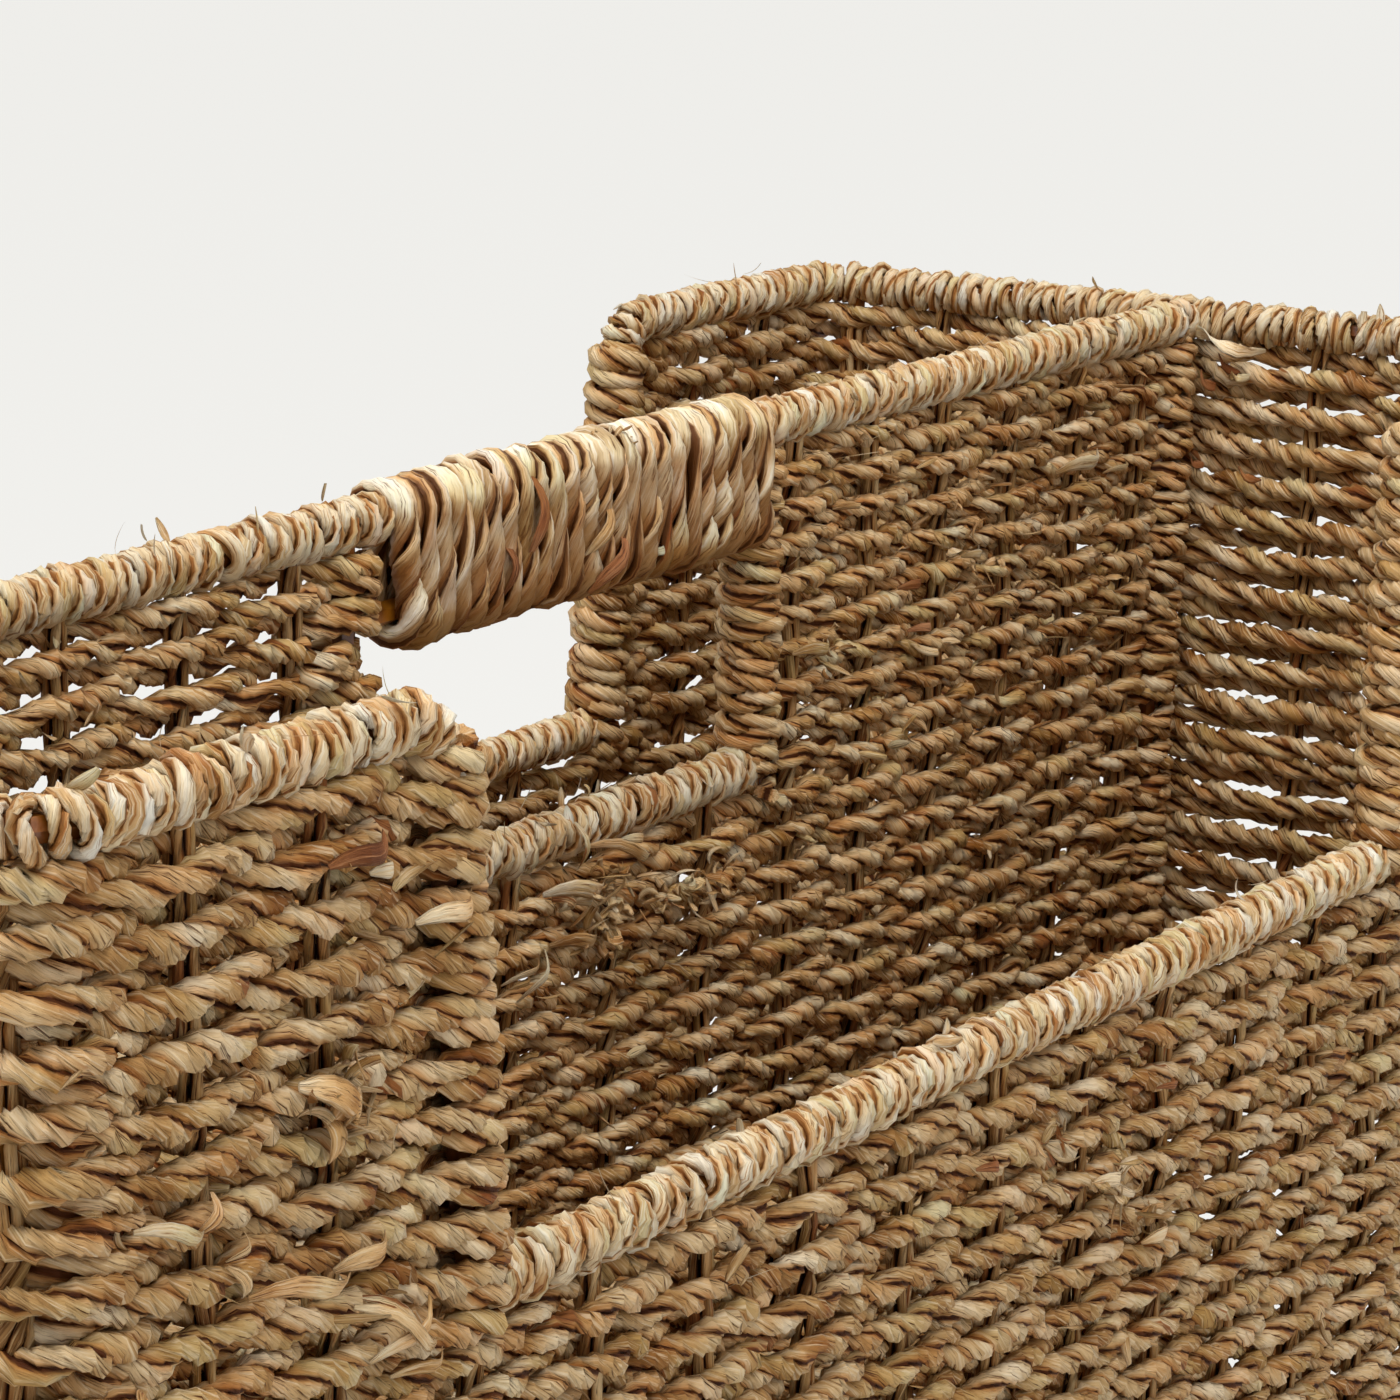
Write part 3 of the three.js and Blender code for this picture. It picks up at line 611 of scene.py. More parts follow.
laid_rope = rope_tree()
stake_finish = seagrass(
    "stake_fibre",
    {0.3: (124, 82, 42), 0.5: (194, 150, 95), 0.7: (230, 197, 146)},
    rust_share=0.05,
    crease_and_seam_shade=(72, 40, 15),
)
stake_sizes = {
    "Strands": 4,
    "Sides": 5,
    "Strand Radius": 0.9 * MM,
    "Strand Width": 1,
    "Roll": STRAND_ROLL,
    "Lay Radius": 1.3 * MM,
    "Lay Length": 80 * MM,
    "Unevenness": 1,
}

low_rim_half_length = half_length_at(LOW_RIM_HEIGHT)
dip_stakes = [
    (k - (DIP_STAKES + 1) / 2) * DIP_BOTTOM_LENGTH / (DIP_STAKES + 1) / low_rim_half_length
    for k in range(DIP_STAKES + 2)
]
ear_stakes = [
    (half_dip_at(RIM_HEIGHT) * (1 - share) + RIM_LENGTH / 2 * share) * 2 / RIM_LENGTH
    for share in STAKE_SHARES
]
wall_stakes = [(share, LOW_RIM_HEIGHT) for share in dip_stakes]
wall_stakes += [(side * share, RIM_HEIGHT) for side in (-1, 1) for share in ear_stakes]


def upright(share, y):
    """A stake's place at each height. The share is of half the basket's length there: 1 at the ends."""
    return lambda z: np.array((share * half_length_at(z), y, z))


wall_paths = []
for share, top in wall_stakes:
    front, back = upright(share, -HALF_WIDTH), upright(share, HALF_WIDTH)
    corners = [front(top), front(STAKE_LEVEL), back(STAKE_LEVEL), back(top)]
    wall_paths.append(bent(corners, STAKE_BEND, STAKE_STEP))
end_stake_ys = [face * share * HALF_WIDTH for face in (-1, 1) for share in STAKE_SHARES]
end_paths, cord_paths = [], []
for side, face in itertools.product((-1, 1), repeat=2):
    first, second = (upright(side, face * share * HALF_WIDTH) for share in STAKE_SHARES)
    corners = [first(RIM_HEIGHT), first(STAKE_LEVEL), second(STAKE_LEVEL), second(RIM_HEIGHT)]
    end_paths.append(bent(corners, STAKE_BEND, STAKE_STEP))
    at = upright(side, face * (HALF_WIDTH - WIRE_BEND))
    cord_paths.append(spaced([at(STAKE_LEVEL), at(RIM_HEIGHT - STAKE_LEVEL)], STAKE_STEP))


def half_arch_at(z):
    """Half the length of the divider between its wire's legs."""
    return half_length_at(z) - DIVIDER_INSET


def spread(count, start_at, end_at, top):
    """Stakes evenly between two lines: each one's place along the divider at a height, and its top."""
    shares = [(k + 1 / 2) / count for k in range(count)]
    return [(lambda z, share=share: start_at(z) * (1 - share) + end_at(z) * share, top) for share in shares]


left_wire, right_wire = (lambda z: OPENING_ENDS[0]), (lambda z: OPENING_ENDS[1])
left_stakes = spread(SIDE_STAKES, lambda z: -half_arch_at(z), left_wire, RIM_HEIGHT)
middle_stakes = spread(OPENING_STAKES, left_wire, right_wire, SILL_HEIGHT)
right_stakes = spread(SIDE_STAKES, right_wire, half_arch_at, RIM_HEIGHT)
divider_stakes = left_stakes + middle_stakes + right_stakes
divider_paths = []
for (first, top), (second, _) in zip(divider_stakes[::2], divider_stakes[1::2]):
    heights = (top, DIVIDER_FOOT, DIVIDER_FOOT, top)
    corners = [(at(z), 0, z) for at, z in zip((first, first, second, second), heights)]
    divider_paths.append(bent(corners, STAKE_BEND, STAKE_STEP))

for name, paths, prefix in (
    ("wall_stake_cords", wall_paths, "wall_stake"),
    ("end_stake_cords", end_paths, "end_stake"),
    ("divider_stake_cords", divider_paths, "divider_stake"),
):
    piece = grown(name, laid_rope, paths, stake_sizes, stake_finish)
    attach(piece, "root")
    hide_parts(*(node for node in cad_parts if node.startswith(prefix)))

cord_sizes = {**stake_sizes, "Strands": 8, "Lay Radius": 2.5 * MM}
piece = grown("corner_cords", laid_rope, cord_paths, cord_sizes, stake_finish)
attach(piece, "root")


# The woven walls
# Two-strand seagrass rope passes the stakes on alternate sides, and each row is opposite the next one.
# Below the dips the rows run round all four walls; in the raised ends they turn back at the step's wire.
ROPE_STEP = 2.1 * MM
ROPE_REACH = 2.3 * MM
TURN_REACH = 4.2 * MM
TURN_BLEND = 16 * MM
TURN_STEPS = 27
TAIL_CLIMB = 1.5 * MM
CORNER_STAKE_INSET = 8 * MM
LOWEST_ROW = 3.8 * MM
DIP_SLOT = 7.5 * MM
EAR_SLOT = 6.3 * MM
ROW_WANDER = 0.45 * MM
ROW_WAVES = (22 * MM, 100 * MM)
ROW_RIPPLE = 0.4 * MM
RIPPLE_WAVES = (9 * MM, 17 * MM)
RING_ROWS = 47
RAISED_ROWS = 22
RING_PIECES = 4

rope_sizes = {
    "Strands": 2,
    "Sides": 6,
    "Strand Radius": 1.68 * MM,
    "Strand Width": 1,
    "Roll": STRAND_ROLL,
    "Lay Radius": 1.06 * MM,
    "Lay Length": 16.5 * MM,
    "Unevenness": 1,
}
wall_finish = seagrass(
    "wall_seagrass",
    {0.28: (153, 104, 53), 0.42: (195, 152, 96), 0.55: (222, 189, 140), 0.75: (247, 226, 190)},
    rust_share=-0.01,
    crease_and_seam_shade=(84, 43, 10),
    seam_shade_start=0.37,
)


def drift(place, waves, count=3):
    """Random waves along a line, around nothing, of lengths between these two."""
    lengths = draw.uniform(*waves, count)
    return sum(np.sin(2 * np.pi * (place / length + draw.random())) for length in lengths) / 2


def row(middle, stakes, across, first, ends_turn=True):
    """One row of rope. It passes the stakes, and its two ends, on alternate sides of the middle line.
    Across is the direction square to the weave, and first is the side at the row's start."""
    along = lengths_along(middle)
    passed = [0]
    passed += sorted(along[np.argmin(np.linalg.norm(middle - stake, axis=1))] for stake in stakes)
    passed.append(along[-1])
    side = first * np.cos(np.pi * np.interp(along, passed, range(len(passed))))
    reach = np.full(len(along), ROPE_REACH)
    if ends_turn:
        near = np.minimum(along, along[-1] - along)
        reach += (TURN_REACH - ROPE_REACH) * np.clip(1 - near / TURN_BLEND, 0, 1) ** 2
    return middle + across * (side * reach)[:, None]


def outward_of(middle):
    """The level direction square to a row, away from the basket's middle."""
    heading = np.gradient(middle, axis=0)
    across = np.column_stack([heading[:, 1], -heading[:, 0], np.zeros(len(middle))])
    across /= np.linalg.norm(across, axis=1)[:, None]
    half = len(middle) // 2
    return across if across[half] @ middle[half] > 0 else -across


def turn_round(end, start, outward):
    """One and a half turns round a wire, from the end of one row to the start of the next."""
    centre = (end + start) / 2
    arm = (end - start) / 2
    arm[2] = 0
    aside = np.linalg.norm(arm) * np.asarray(outward, float)
    angles = np.linspace(0, 3 * np.pi, TURN_STEPS)[1:-1, None]
    round_wire = centre + np.cos(angles) * arm + np.sin(angles) * aside
    climbed = np.clip((angles[:, 0] - np.pi / 2) / (2 * np.pi), 0, 1)
    round_wire[:, 2] = end[2] + (start[2] - end[2]) * climbed
    return round_wire


def snake(rows, turns, tail_turned=True):
    """Rows joined into one rope, which can end with a turn round the wire.
    The turns are the ways out at the rows' far ends and near ends."""
    parts = []
    for k, points in enumerate(rows):
        if k % 2:
            points = points[::-1]
        if parts:
            parts.append(turn_round(parts[-1][-1], points[0], turns[(k + 1) % 2]))
        parts.append(points)
    if tail_turned:
        last = parts[-1][-1]
        wire_y = 0 if abs(last[1]) < HALF_WIDTH / 2 else np.sign(last[1]) * HALF_WIDTH
        tail = np.array((last[0], 2 * wire_y - last[1], last[2] + TAIL_CLIMB))
        parts.append(turn_round(last, tail, turns[(len(rows) - 1) % 2]))
    return np.concatenate(parts)


def lifted(middle):
    """The row's middle line with a slow drift and a short ripple up and down."""
    middle = middle.copy()
    along = lengths_along(middle)
    middle[:, 2] += ROW_WANDER * drift(along, ROW_WAVES) + ROW_RIPPLE * drift(along, RIPPLE_WAVES)
    return middle


def stakes_of_end(side, z):
    """The stakes that a raised end's row passes, from one step to the other."""
    corner_y = HALF_WIDTH - CORNER_STAKE_INSET
    found = [upright(side * s, face * HALF_WIDTH)(z) for face in (-1, 1) for s in ear_stakes]
    return found + [upright(side, y)(z) for y in (-corner_y, corner_y, *end_stake_ys)]


ring_heights = np.linspace(LOWEST_ROW, LOW_RIM_HEIGHT - DIP_SLOT, RING_ROWS)
rings = []
for k, z in enumerate(ring_heights):
    x, y = half_length_at(z), HALF_WIDTH
    start = (-x, y - CORNER_STAKE_INSET, z)
    corners = [start, (-x, -y, z), (x, -y, z), (x, y, z), (-x, y, z), start]
    middle = lifted(bent(corners, WIRE_BEND, ROPE_STEP))
    stakes = [upright(s, face * y)(z) for face in (-1, 1) for s in dip_stakes]
    stakes += [s for side in (-1, 1) for s in stakes_of_end(side, z)]
    first_corner = np.array(start)
    stakes = [s for s in stakes if np.linalg.norm(s - first_corner) > MM]
    rings.append(row(middle, stakes, outward_of(middle), (-1) ** k, ends_turn=False))

for k in range(RING_PIECES):
    first_ring, last_ring = (round(RING_ROWS * n / RING_PIECES) for n in (k, k + 1))
    rows = rings[first_ring:last_ring]
    piece = grown(f"wall_ropes_{k + 1}", laid_rope, rows, rope_sizes, wall_finish)
    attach(piece, "root")
    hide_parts("front_weave", "back_weave", "left_end_weave", "right_end_weave")

raised_rows = []
raised_step = (RIM_HEIGHT - EAR_SLOT - ring_heights[-1]) / RAISED_ROWS
for side, word in ((-1, "left"), (1, "right")):
    rows = []
    for k in range(RAISED_ROWS):
        z = ring_heights[-1] + (k + 1) * raised_step
        x, y, step_x = half_length_at(z), HALF_WIDTH, half_dip_at(z)
        corners = [(side * step_x, -y, z), (side * x, -y, z), (side * x, y, z), (side * step_x, y, z)]
        middle = lifted(bent(corners, WIRE_BEND, ROPE_STEP))
        rows.append(row(middle, stakes_of_end(side, z), outward_of(middle), (-1) ** k))
    raised_rows += rows
    way_out = (-side, 0, 0)
    ropes = [snake(rows, (way_out, way_out))]
    raised_sizes = {**rope_sizes, "Sides": 7}
    piece = grown(f"{word}_raised_ropes", laid_rope, ropes, raised_sizes, wall_finish)
    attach(piece, "root")
    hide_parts(f"{word}_end_weave", f"front_{word}_ear_weave", f"back_{word}_ear_weave")


# The woven base
# The basket's floor, of the same rope. It is laid lengthways, over and under the stretches of the wall
# stakes that cross the floor, and turns back at the end walls.
BASE_ROWS = 43
BASE_EDGE = 84.5 * MM
BASE_RISE = 0.8 * MM
BASE_STEP = 4.3 * MM
BASE_CLEAR = 5.5 * MM
UP = np.array((0.0, 0.0, 1.0))

base_rows = []
x, level = half_length_at(STAKE_LEVEL) - BASE_CLEAR, STAKE_LEVEL + BASE_RISE
for k in range(BASE_ROWS):
    y = ((k + 1 / 2) / BASE_ROWS * 2 - 1) * BASE_EDGE
    middle = spaced([(-x, y, level), (x, y, level)], BASE_STEP)
    middle[:, 1] += ROW_WANDER * drift(lengths_along(middle), ROW_WAVES)
    stakes = [upright(s, y)(STAKE_LEVEL) for s, _ in wall_stakes]
    base_rows.append(row(middle, stakes, UP, (-1) ** k, ends_turn=False))
base_ropes = [snake(base_rows, ((1, 0, 0), (-1, 0, 0)), tail_turned=False)]
base_sizes = {**rope_sizes, "Sides": 5, "Strand Radius": 1.95 * MM}
piece = grown("base_ropes", laid_rope, base_ropes, base_sizes, wall_finish)
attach(piece, "root")
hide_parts("base_weave")


# The divider
# One woven wall of a slightly thinner rope down the middle, hung in the arched wire. Its rows turn back
# at the arch's legs, and above the sill at the hand opening's wire.
DIVIDER_LOWEST_ROW = 13.2 * MM
DIVIDER_ROWS = 54
DIVIDER_SIDE_ROWS = 19
DIVIDER_PIECES = 2
SHORT_ROWS = (("left", 14), ("left", 15))  # they stop short of the opening's wire, below the grip's end
SHORT_BY = 10 * MM
FRONT = np.array((0.0, -1.0, 0.0))

divider_sizes = {
    **rope_sizes,
    "Strand Radius": 1.47 * MM,
    "Lay Radius": 0.95 * MM,
    "Lay Length": 15.5 * MM,
    "Unevenness": 1.2,
}
# The divider's rope is the walls' seagrass painted lighter, as painted light for the inside of the basket.
divider_lightened_finish = seagrass(
    "divider_seagrass_lightened",
    {0.28: (162, 108, 53), 0.42: (210, 161, 102), 0.55: (238, 200, 146), 0.75: (255, 238, 202)},
    crease_and_seam_shade=(84, 43, 10),
    seam_shade_start=0.38,
)


def divider_row(z, left, right, k, stakes):
    """A row between two wires, past these stakes."""
    middle = lifted(spaced([(left, 0, z), (right, 0, z)], ROPE_STEP))
    passed = [np.array((at(z), 0, z)) for at, _ in stakes]
    return row(middle, passed, FRONT, (-1) ** k)


divider_heights = np.linspace(DIVIDER_LOWEST_ROW, SILL_HEIGHT - DIP_SLOT, DIVIDER_ROWS)
divider_rows = [
    divider_row(z, -half_arch_at(z), half_arch_at(z), k, divider_stakes)
    for k, z in enumerate(divider_heights)
]
for k in range(DIVIDER_PIECES):
    first_row, last_row = (DIVIDER_ROWS * n // DIVIDER_PIECES for n in (k, k + 1))
    ropes = [snake(divider_rows[first_row:last_row], ((1, 0, 0), (-1, 0, 0)))]
    piece = grown(f"divider_ropes_{k + 1}", laid_rope, ropes, divider_sizes, divider_lightened_finish)
    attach(piece, "root")
    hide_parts("divider_weave")

side_step = (RIM_HEIGHT - EAR_SLOT - divider_heights[-1]) / DIVIDER_SIDE_ROWS
side_rows = []
sides = ((-1, "left", left_stakes, OPENING_ENDS[0]), (1, "right", right_stakes, OPENING_ENDS[1]))
for side, word, stakes, edge in sides:
    rows = []
    for k in range(DIVIDER_SIDE_ROWS):
        z = divider_heights[-1] + (k + 1) * side_step
        short = SHORT_BY if (word, k) in SHORT_ROWS else 0
        rows.append(divider_row(z, edge + side * short, side * half_arch_at(z), k, stakes))
    side_rows += rows
    ropes = [snake(rows, ((side, 0, 0), (-side, 0, 0)))]
    piece = grown(f"divider_{word}_ropes", laid_rope, ropes, divider_sizes, divider_lightened_finish)
    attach(piece, "root")
    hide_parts(f"divider_{word}_weave")


# The bindings
# A thin two-strand cord of split leaf wound tight round the rim wires, over the stakes' ends.
# Its turns crowd and overlap, and its strands cross. It is paler than the rope.
WINDING_PITCH = 2.65 * MM
WINDING_RADIUS = 3.1 * MM
WINDING_STEPS = 15
WINDING_DRIFT = 0.12
DRIFT_TURNS = (2, 9)
WINDING_PUFF = 0.14
PUFF_TURNS = (0.7, 3)
WINDING_SWAY = 0.75 * MM
SWAY_TURNS = (0.6, 2)
WINDING_WAVES = 4
ASKEW = (0.3, 0.5, 0.8)  # no wire runs this way

binding_sizes = {
    **rope_sizes,
    "Strand Radius": 0.8 * MM,
    "Strand Width": 1.65,
    "Roll": 0,
    "Lay Radius": 0.62 * MM,
    "Lay Length": 12 * MM,
    "Unevenness": 1.2,
}
binding_finish = seagrass(
    "binding_blade",
    {0.26: (180, 127, 73), 0.38: (218, 180, 127), 0.5: (241, 217, 174), 0.7: (249, 241, 221)},
    rust_share=-0.03,
    crease_and_seam_shade=(158, 102, 50),
    roughness=0.45,
)


def wound_round(path):
    """The line of a cord wound round a path, with uneven turns."""
    path = spaced(path, WINDING_PITCH / WINDING_STEPS)
    headings = np.gradient(path, axis=0)
    headings /= np.linalg.norm(headings, axis=1)[:, None]
    normal = unit(np.cross(headings[0], ASKEW))
    normals = []
    for heading in headings:
        normal = unit(normal - heading * (normal @ heading))
        normals.append(normal)
    normals = np.array(normals)
    turns = np.arange(len(path)) / WINDING_STEPS
    angle = 2 * np.pi * (turns + WINDING_DRIFT * drift(turns, DRIFT_TURNS, WINDING_WAVES))[:, None]
    arm = normals * np.cos(angle) + np.cross(headings, normals) * np.sin(angle)
    radius = WINDING_RADIUS * (1 + WINDING_PUFF * drift(turns, PUFF_TURNS, WINDING_WAVES))[:, None]
    sway = WINDING_SWAY * drift(turns, SWAY_TURNS, WINDING_WAVES)[:, None]
    return path + arm * radius + headings * sway


PATH_STEP = 2 * MM
DIP_BINDING_END = 143.5 * MM
RAISED_BINDING_DROP = 8.5 * MM
BINDING_INSET = 4 * MM
LEFT_BINDING_INSET = 8.5 * MM  # as far as the grip's first turn
DIVIDER_BINDING_END = 233.7 * MM

binding_paths = {}
for side, word in ((-1, "left"), (1, "right")):
    low, y = RIM_HEIGHT - RAISED_BINDING_DROP, HALF_WIDTH
    leg, step, end = (side * x for x in (half_dip_at(low), DIP_TOP_LENGTH / 2, RIM_LENGTH / 2))
    corners = [(leg, -y, low), (step, -y, RIM_HEIGHT), (end, -y, RIM_HEIGHT)]
    corners += [(x, -back, z) for x, back, z in corners[::-1]]
    binding_paths[f"{word}_end_binding"] = bent(corners, WIRE_BEND, PATH_STEP)
    inner = OPENING_ENDS[side > 0] - side * (BINDING_INSET if side > 0 else LEFT_BINDING_INSET)
    ends = [(inner, 0, RIM_HEIGHT), (side * DIVIDER_BINDING_END, 0, RIM_HEIGHT)]
    binding_paths[f"divider_{word}_binding"] = spaced(ends, PATH_STEP)
for face, word in ((-1, "front"), (1, "back")):
    ends = [(x * DIP_BINDING_END, face * HALF_WIDTH, LOW_RIM_HEIGHT) for x in (-1, 1)]
    binding_paths[f"{word}_dip_binding"] = spaced(ends, PATH_STEP)
sill_ends = [(x - side * BINDING_INSET, 0, SILL_HEIGHT) for side, x in zip((-1, 1), OPENING_ENDS)]
binding_paths["sill_binding"] = spaced(sill_ends, PATH_STEP)
binding_turns = []
for node, path in binding_paths.items():
    turned_path = wound_round(path)
    binding_turns.append(turned_path)
    piece = grown(f"{node}_cord", laid_rope, [turned_path], binding_sizes, binding_finish)
    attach(piece, "root")
    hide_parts(node)


# The grip
# Both grip wires are wound together with 24 turns of a two-strand rope of flat leaves, side by side.
# The leaves are paler than the walls', in part as painted light on their tops, and leaf that doesn't
# face up is darkened with painted shade.
GRIP_TURNS = 24
GRIP_START = -47.5 * MM
GRIP_END = 63.5 * MM
GRIP_TURN_RADIUS = 4.15 * MM
GRIP_TURN_STEPS = 38

# The grip's leaf is paler than the walls' by its own colour and, in part, as painted light on its tops; its
# sides get painted shade.
grip_finish = seagrass(
    "grip_seagrass",
    {0.28: (176, 140, 94), 0.42: (228, 202, 158), 0.55: (246, 230, 196), 0.75: (255, 251, 240)},
    crease_and_seam_shade=(98, 58, 24),
    roughness=0.48,
    painted_side_shade=True,
)
turns = np.linspace(0, GRIP_TURNS, GRIP_TURNS * GRIP_TURN_STEPS + 1)
half_arc = np.pi * GRIP_TURN_RADIUS
walk = (turns % 1) * (2 * (half_arc + GRIP_WIRE_DROP))
low_arc = np.clip(walk - GRIP_WIRE_DROP, half_arc, 2 * half_arc)
arc_angle = np.where(walk < half_arc, walk, low_arc) / GRIP_TURN_RADIUS
down = np.clip(walk - half_arc, 0, GRIP_WIRE_DROP)
down -= np.clip(walk - 2 * half_arc - GRIP_WIRE_DROP, 0, GRIP_WIRE_DROP)
grip_path = np.column_stack([
    GRIP_START + turns / GRIP_TURNS * (GRIP_END - GRIP_START),
    GRIP_TURN_RADIUS * np.cos(arc_angle),
    RIM_HEIGHT + GRIP_TURN_RADIUS * np.sin(arc_angle) - down,
])
grip_sizes = {
    **rope_sizes,
    "Sides": 9,
    "Strand Radius": 1.12 * MM,
    "Strand Width": 2.0,
    "Roll": 0,
    "Lay Radius": 1.15 * MM,
    "Lay Length": 27 * MM,
}
piece = grown("grip_ropes", laid_rope, [grip_path], grip_sizes, grip_finish)
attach(piece, "root")
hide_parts("grip_winding")


# The loose ends
# Leaf ends that stick out of the twist, and thin fibres, each held by its rope at one end. Where a new leaf
# was spliced in there is a tuft, and broad bits of leaf lie over the rows, both as the photograph has them.
LOOSE_ENDS = ((450, (4 * MM, 10 * MM)), (85, (7 * MM, 17 * MM)))  # leaf ends, fibres: how many, how long
RIM_ENDS = ((130, (2.5 * MM, 6 * MM)), (70, (4 * MM, 9 * MM)))
END_HALF_WIDTHS = (0.4 * MM, 1.3 * MM)
END_TURN = 1.0
END_LIFT = 0.25
END_SPREAD = 0.35
END_POINTS = 8
FORWARD_SHARE = 0.7
FRONT_SHARE = 0.6
HAIR_HALF_WIDTHS = (0.09 * MM, 0.15 * MM)
ROPE_SKIN = 2.3 * MM
ROPE_MARGIN = 2
ROOT_DEPTHS = (0.5, 1)
ROOT_SCATTER = 0.8 * MM
FLOOR_CLEAR = 1.5 * MM
TUFT_TURN = 2.2
TUFT_SPREAD = (1, 0.15, 0.6)
TUFT_SIZE = (3 * MM, 0.8 * MM, 2 * MM)
TUFT_SHARES = (0.5, 1)
LEAF_ARCH = 0.1
LEAF_TUCK = 1.6 * MM
LEAF_SWAY = 0.05
ROOT_TAPER = 0.7
TIP_TAPER = 0.2
TIP_VARIETY = 0.75
INWARD = np.array((-1.0, 0.0, 0.0))


def blade_tree():
    """A flat leaf end along each path, narrow at its root and pointed or cut at its tip."""
    tree, nodes, given, lines = new_tree("leaf_end", ("Sides",), ("Thickness", "Turn", "Twist"))
    phase = attribute(nodes, "phase")
    spline = nodes.add("GeometryNodeSplineParameter")
    length, share = spline["Length"], spline["Factor"]
    lines = stored(nodes, lines, "along", length + phase)
    lines = stored(nodes, lines, "which", phase * 90)
    front = nodes.add("ShaderNodeCombineXYZ", None, {"Y": -1.0})["Vector"]
    tilt = (phase - 0.5) * given["Turn"] + length * given["Twist"]
    flat = nodes.add("ShaderNodeCombineXYZ", None, {"X": given["Thickness"], "Y": 1.0, "Z": 1.0})["Vector"]
    section = nodes.add("GeometryNodeInputPosition")["Position"].stretched(flat)
    back = 1 - share
    tip = 1 - share * share * share * (TIP_TAPER + TIP_VARIETY * phase)
    root = 1 - ROOT_TAPER * (back * back * back * back)
    girth = attribute(nodes, "girth") * (tip * root)
    made = swept(nodes, given, lines, front, tilt, section, girth)
    end_tree(nodes, stored(nodes, made, "facing", 1.0), given)
    return tree


def leaf_end(root, heading, outward, length, turn):
    """A leaf end that leaves its root along a heading, lifts a little and curls to one side."""
    axis = unit(outward * draw.normal(0, 1) + np.cross(heading, outward))
    angle = abs(draw.normal(0, turn)) / END_POINTS
    heading = unit(heading + outward * END_LIFT)
    points = [root]
    for _ in range(END_POINTS - 1):
        points.append(points[-1] + heading * length / END_POINTS)
        heading = unit(heading + np.cross(axis, heading) * angle)
    return np.array(points)


def ends_on(ropes, outward_at, count, lengths):
    """Leaf ends at random places along these ropes."""
    found = []
    for _ in range(count):
        rope = ropes[draw.integers(len(ropes))]
        k = draw.integers(ROPE_MARGIN, len(rope) - ROPE_MARGIN - 1)
        way = 1 if draw.random() < FORWARD_SHARE else -1
        outward = outward_at(rope[k])
        heading = unit(unit(rope[k + way] - rope[k]) + draw.normal(0, END_SPREAD, 3))
        root = rope[k] + outward * ROPE_SKIN * draw.uniform(*ROOT_DEPTHS) + UP * draw.normal(0, ROOT_SCATTER)
        end = leaf_end(root, heading, outward, draw.uniform(*lengths), END_TURN)
        if end[:, 2].min() > FLOOR_CLEAR:
            found.append(end)
    return found


def tuft(place, outward, count, reach):
    """A knot of leaf ends that spread from one place."""
    found = []
    for _ in range(count):
        heading = unit(draw.normal(0, 1, 3) * TUFT_SPREAD)
        root = np.array(place) * MM + draw.normal(0, 1, 3) * TUFT_SIZE
        length = reach * MM * draw.uniform(*TUFT_SHARES)
        found.append(leaf_end(root, heading, outward, length, TUFT_TURN))
    return found


def leaf_between(face, place, z, to_place, to_z):
    """A broad bit of leaf on a face, arched away from it with both ends tucked in, and given in mm.
    A face above nothing is the right end's inner one, at this x, and the places on it are y."""
    outward = FRONT if face < 0 else INWARD
    start, end = ((u, face, v) if face < 0 else (face, u, v) for u, v in ((place, z), (to_place, to_z)))
    start, end = np.array(start) * MM, np.array(end) * MM
    reach = end - start
    share = np.linspace(0, 1, END_POINTS)[:, None]
    rise = (np.linalg.norm(reach) * LEAF_ARCH + LEAF_TUCK) * np.sin(np.pi * share) - LEAF_TUCK
    aside = np.cross(outward, reach) * LEAF_SWAY
    return start + reach * share + outward * rise + aside * np.sin(2 * np.pi * share)


def wall_outward(point):
    """Away from the basket's middle, square to the nearest wall."""
    if abs(point[1]) > HALF_WIDTH - WIRE_BEND:
        return np.array((0, np.sign(point[1]), 0))
    return np.array((np.sign(point[0]), 0, 0))


def either_side(point):
    """Away from the divider, more often to the front."""
    return np.array((0, -1 if draw.random() < FRONT_SHARE else 1, 0))


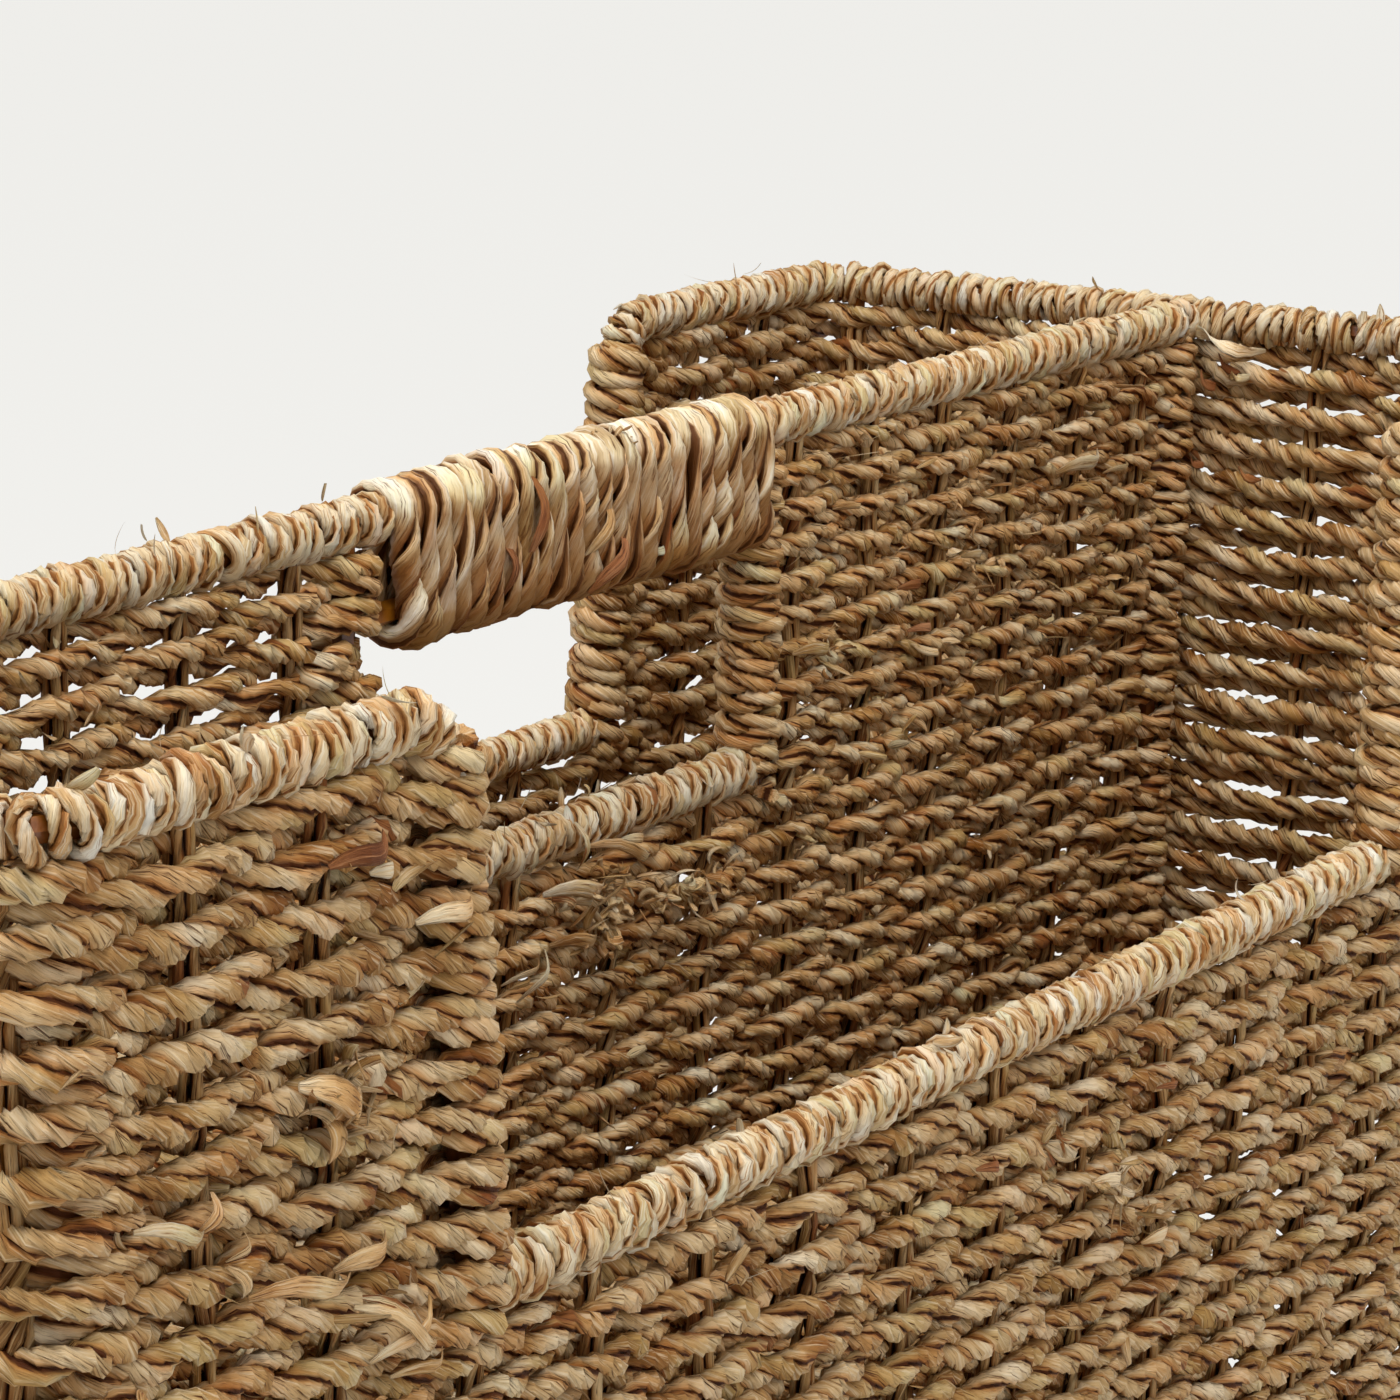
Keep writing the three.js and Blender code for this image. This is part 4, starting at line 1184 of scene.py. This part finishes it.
TUFTS = (  # place in mm, how many leaf ends, and how far they reach in mm
    ((12.7, -4.5, 201.5), 26, 8),
    ((9.6, -4.5, 197), 22, 10),
    ((25.4, -5, 197), 12, 7),
    ((41.6, -5, 197), 20, 9),
    ((140, -5, 241), 6, 7),
    ((83, -5, 232.6), 7, 6),
    ((-181, -93.5, 231), 22, 11),
    ((36.1, -93.5, 159.3), 14, 9),
    ((49.7, -93.5, 149), 10, 8),
    ((14, -93.5, 172), 7, 7),
    ((17.4, -3, 279.5), 18, 4),
)
DIVIDER = -5.8  # where a face is, in mm: its y if it looks to the front
WALL = -95.8
GRIP = -6.6
OVER = -6.2  # over another bit on the divider
PALE_LEAVES = (  # the face, one end's place and height, the other's, and half the width
    (DIVIDER, -6.5, 204.9, 12.2, 203.8, 1.9),
    (DIVIDER, -1.3, 200.7, -0.7, 204.3, 1.5),
    (DIVIDER, 2.4, 201.5, 7.6, 202.0, 1.3),
    (DIVIDER, 3.8, 207.1, 3.1, 215.8, 1.2),
    (DIVIDER, -14.0, 187.6, -5.7, 194.9, 0.75),
    (DIVIDER, 17.1, 209.7, 23.5, 209.8, 1.0),
    (DIVIDER, 172.2, 253.0, 189.3, 255.6, 1.9),
    (DIVIDER, 135.2, 241.8, 141.4, 242.4, 1.1),
    (DIVIDER, 24.6, 259.5, 28.6, 260.8, 0.9),
    (DIVIDER, 73.4, 233.3, 85.7, 233.7, 1.5),
    (WALL, -176.1, 259.3, -172.2, 260.1, 1.3),
    (WALL, -224.7, 223.9, -210.8, 220.5, 1.3),
    (231.6, -2.0, 274.2, -19.5, 271.8, 2.3),
    (231.2, -11.5, 265.9, -16.8, 266.3, 1.2),
)
BROWN_LEAVES = (
    (WALL, -166.0, 250.4, -153.3, 251.7, 1.6),
    (DIVIDER, 2.4, 201.5, -3.7, 203.7, 1.0),
    (DIVIDER, -4.5, 195.4, 9.9, 194.9, 1.6),
    (DIVIDER, 10.0, 192.6, 10.5, 195.5, 1.5),
    (DIVIDER, -18.8, 191.6, -7.8, 195.0, 0.8),
    (DIVIDER, -16.7, 190.4, -11.4, 192.3, 0.7),
    (DIVIDER, 6.5, 210.8, 27.1, 205.9, 1.3),
    (OVER, 17.2, 205.9, 8.6, 199.1, 0.5),
    (DIVIDER, 192.2, 250.2, 201.6, 251.8, 0.9),
    (WALL, 27.2, 161.3, 36.2, 161.3, 1.5),
    (WALL, 46.5, 145.2, 53.8, 147.4, 2.0),
    (WALL, -191.3, 234.2, -178.3, 228.8, 2.4),
    (WALL, -186.9, 229.9, -184.8, 222.2, 1.7),
    (WALL, -183.7, 232.9, -185.9, 227.3, 2.3),
    (WALL, -209.3, 225.0, -212.8, 220.0, 1.2),
    (WALL, -184.0, 207.1, -172.8, 209.3, 2.0),
    (WALL, -202.1, 208.6, -180.1, 206.5, 2.0),
    (WALL, -179.6, 200.8, -161.2, 190.3, 1.2),
    (WALL, -178.3, 201.8, -164.9, 193.6, 1.0),
    (WALL, -176.1, 191.9, -162.6, 197.2, 1.3),
    (WALL, -171.6, 188.5, -159.8, 189.2, 1.2),
    (WALL, -206.6, 214.9, -202.7, 217.8, 0.7),
    (WALL, -206.2, 214.1, -203.4, 209.2, 1.0),
    (GRIP, 3.9, 262.1, 10.4, 271.6, 1.5),
)
RUSTY_LEAVES = (
    (WALL, -184.9, 262.1, -172.8, 263.7, 1.6),
    (WALL, -12.8, 174.6, -6.9, 174.9, 1.0),
    (WALL, 50.0, 172.4, 55.6, 172.8, 0.9),
    (GRIP, -12.9, 264.5, -11.8, 278.6, 2.1),
    (GRIP, -20.0, 259.5, -19.6, 268.4, 0.9),
    (GRIP, 5.4, 255.9, 15.6, 265.6, 1.7),
    (DIVIDER, 111.0, 239.4, 118.4, 240.5, 1.2),
    (DIVIDER, 115.1, 230.5, 122.7, 231.2, 1.0),
    (231.3, -8.9, 270.1, -13.9, 266.7, 1.3),
    (231.1, -5.0, 266.3, -8.4, 263.2, 1.5),
    (230.0, -15.2, 246.9, -20.6, 244.9, 1.4),
    (230.0, -4.0, 248.0, -7.0, 246.6, 1.1),
)
wall_ends, divider_ends = [], []
for count, lengths in LOOSE_ENDS:
    wall_ends.append(ends_on(rings + raised_rows, wall_outward, count, lengths))
    divider_ends.append(ends_on(divider_rows + side_rows, either_side, count, lengths))
for place, count, reach in TUFTS:
    kind = divider_ends if abs(place[1]) * MM < HALF_WIDTH / 2 else wall_ends
    kind[0] += tuft(place, FRONT, count, reach)

rim_ends = [ends_on(binding_turns, lambda point: UP, count, lengths) for count, lengths in RIM_ENDS]
leaf_ends = blade_tree()
end_sizes = {"Sides": 6, "Thickness": 0.24, "Turn": 40, "Twist": 60}
# The divider's leaf ends take its seagrass, which is painted lighter as painted light.
for name, (ends, hairs), ropes_slot, finish in (
    ("wall_leaf_ends", wall_ends, "wall_rope", wall_finish),
    ("divider_leaf_ends", divider_ends, "divider_rope", divider_lightened_finish),
    ("binding_leaf_ends", rim_ends, "binding_blade", binding_finish),
):
    widths = ((END_HALF_WIDTHS, ends), (HAIR_HALF_WIDTHS, hairs))
    girths = np.concatenate([draw.uniform(*span, len(kind)) for span, kind in widths])
    piece = grown(name, leaf_ends, ends + hairs, end_sizes, finish, girths)
    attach(piece, "root")

rusty_finish = seagrass(
    "rusty_leaf",
    {0.28: (112, 62, 30), 0.5: (164, 102, 60), 0.75: (212, 154, 108)},
    rust_share=0.1,
    crease_and_seam_shade=(84, 44, 18),
)
leaf_sizes = {"Sides": 8, "Thickness": 0.22, "Turn": 0.5, "Twist": 12}
# The brown bits take the divider's seagrass, which is painted lighter as painted light.
for word, leaves, finish in (
    ("pale", PALE_LEAVES, binding_finish),
    ("brown", BROWN_LEAVES, divider_lightened_finish),
    ("rusty", RUSTY_LEAVES, rusty_finish),
):
    paths = [leaf_between(*leaf[:-1]) for leaf in leaves]
    girths = np.array([leaf[-1] * MM for leaf in leaves])
    piece = grown(f"{word}_leaf_bits", leaf_ends, paths, leaf_sizes, finish, girths)
    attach(piece, "root")
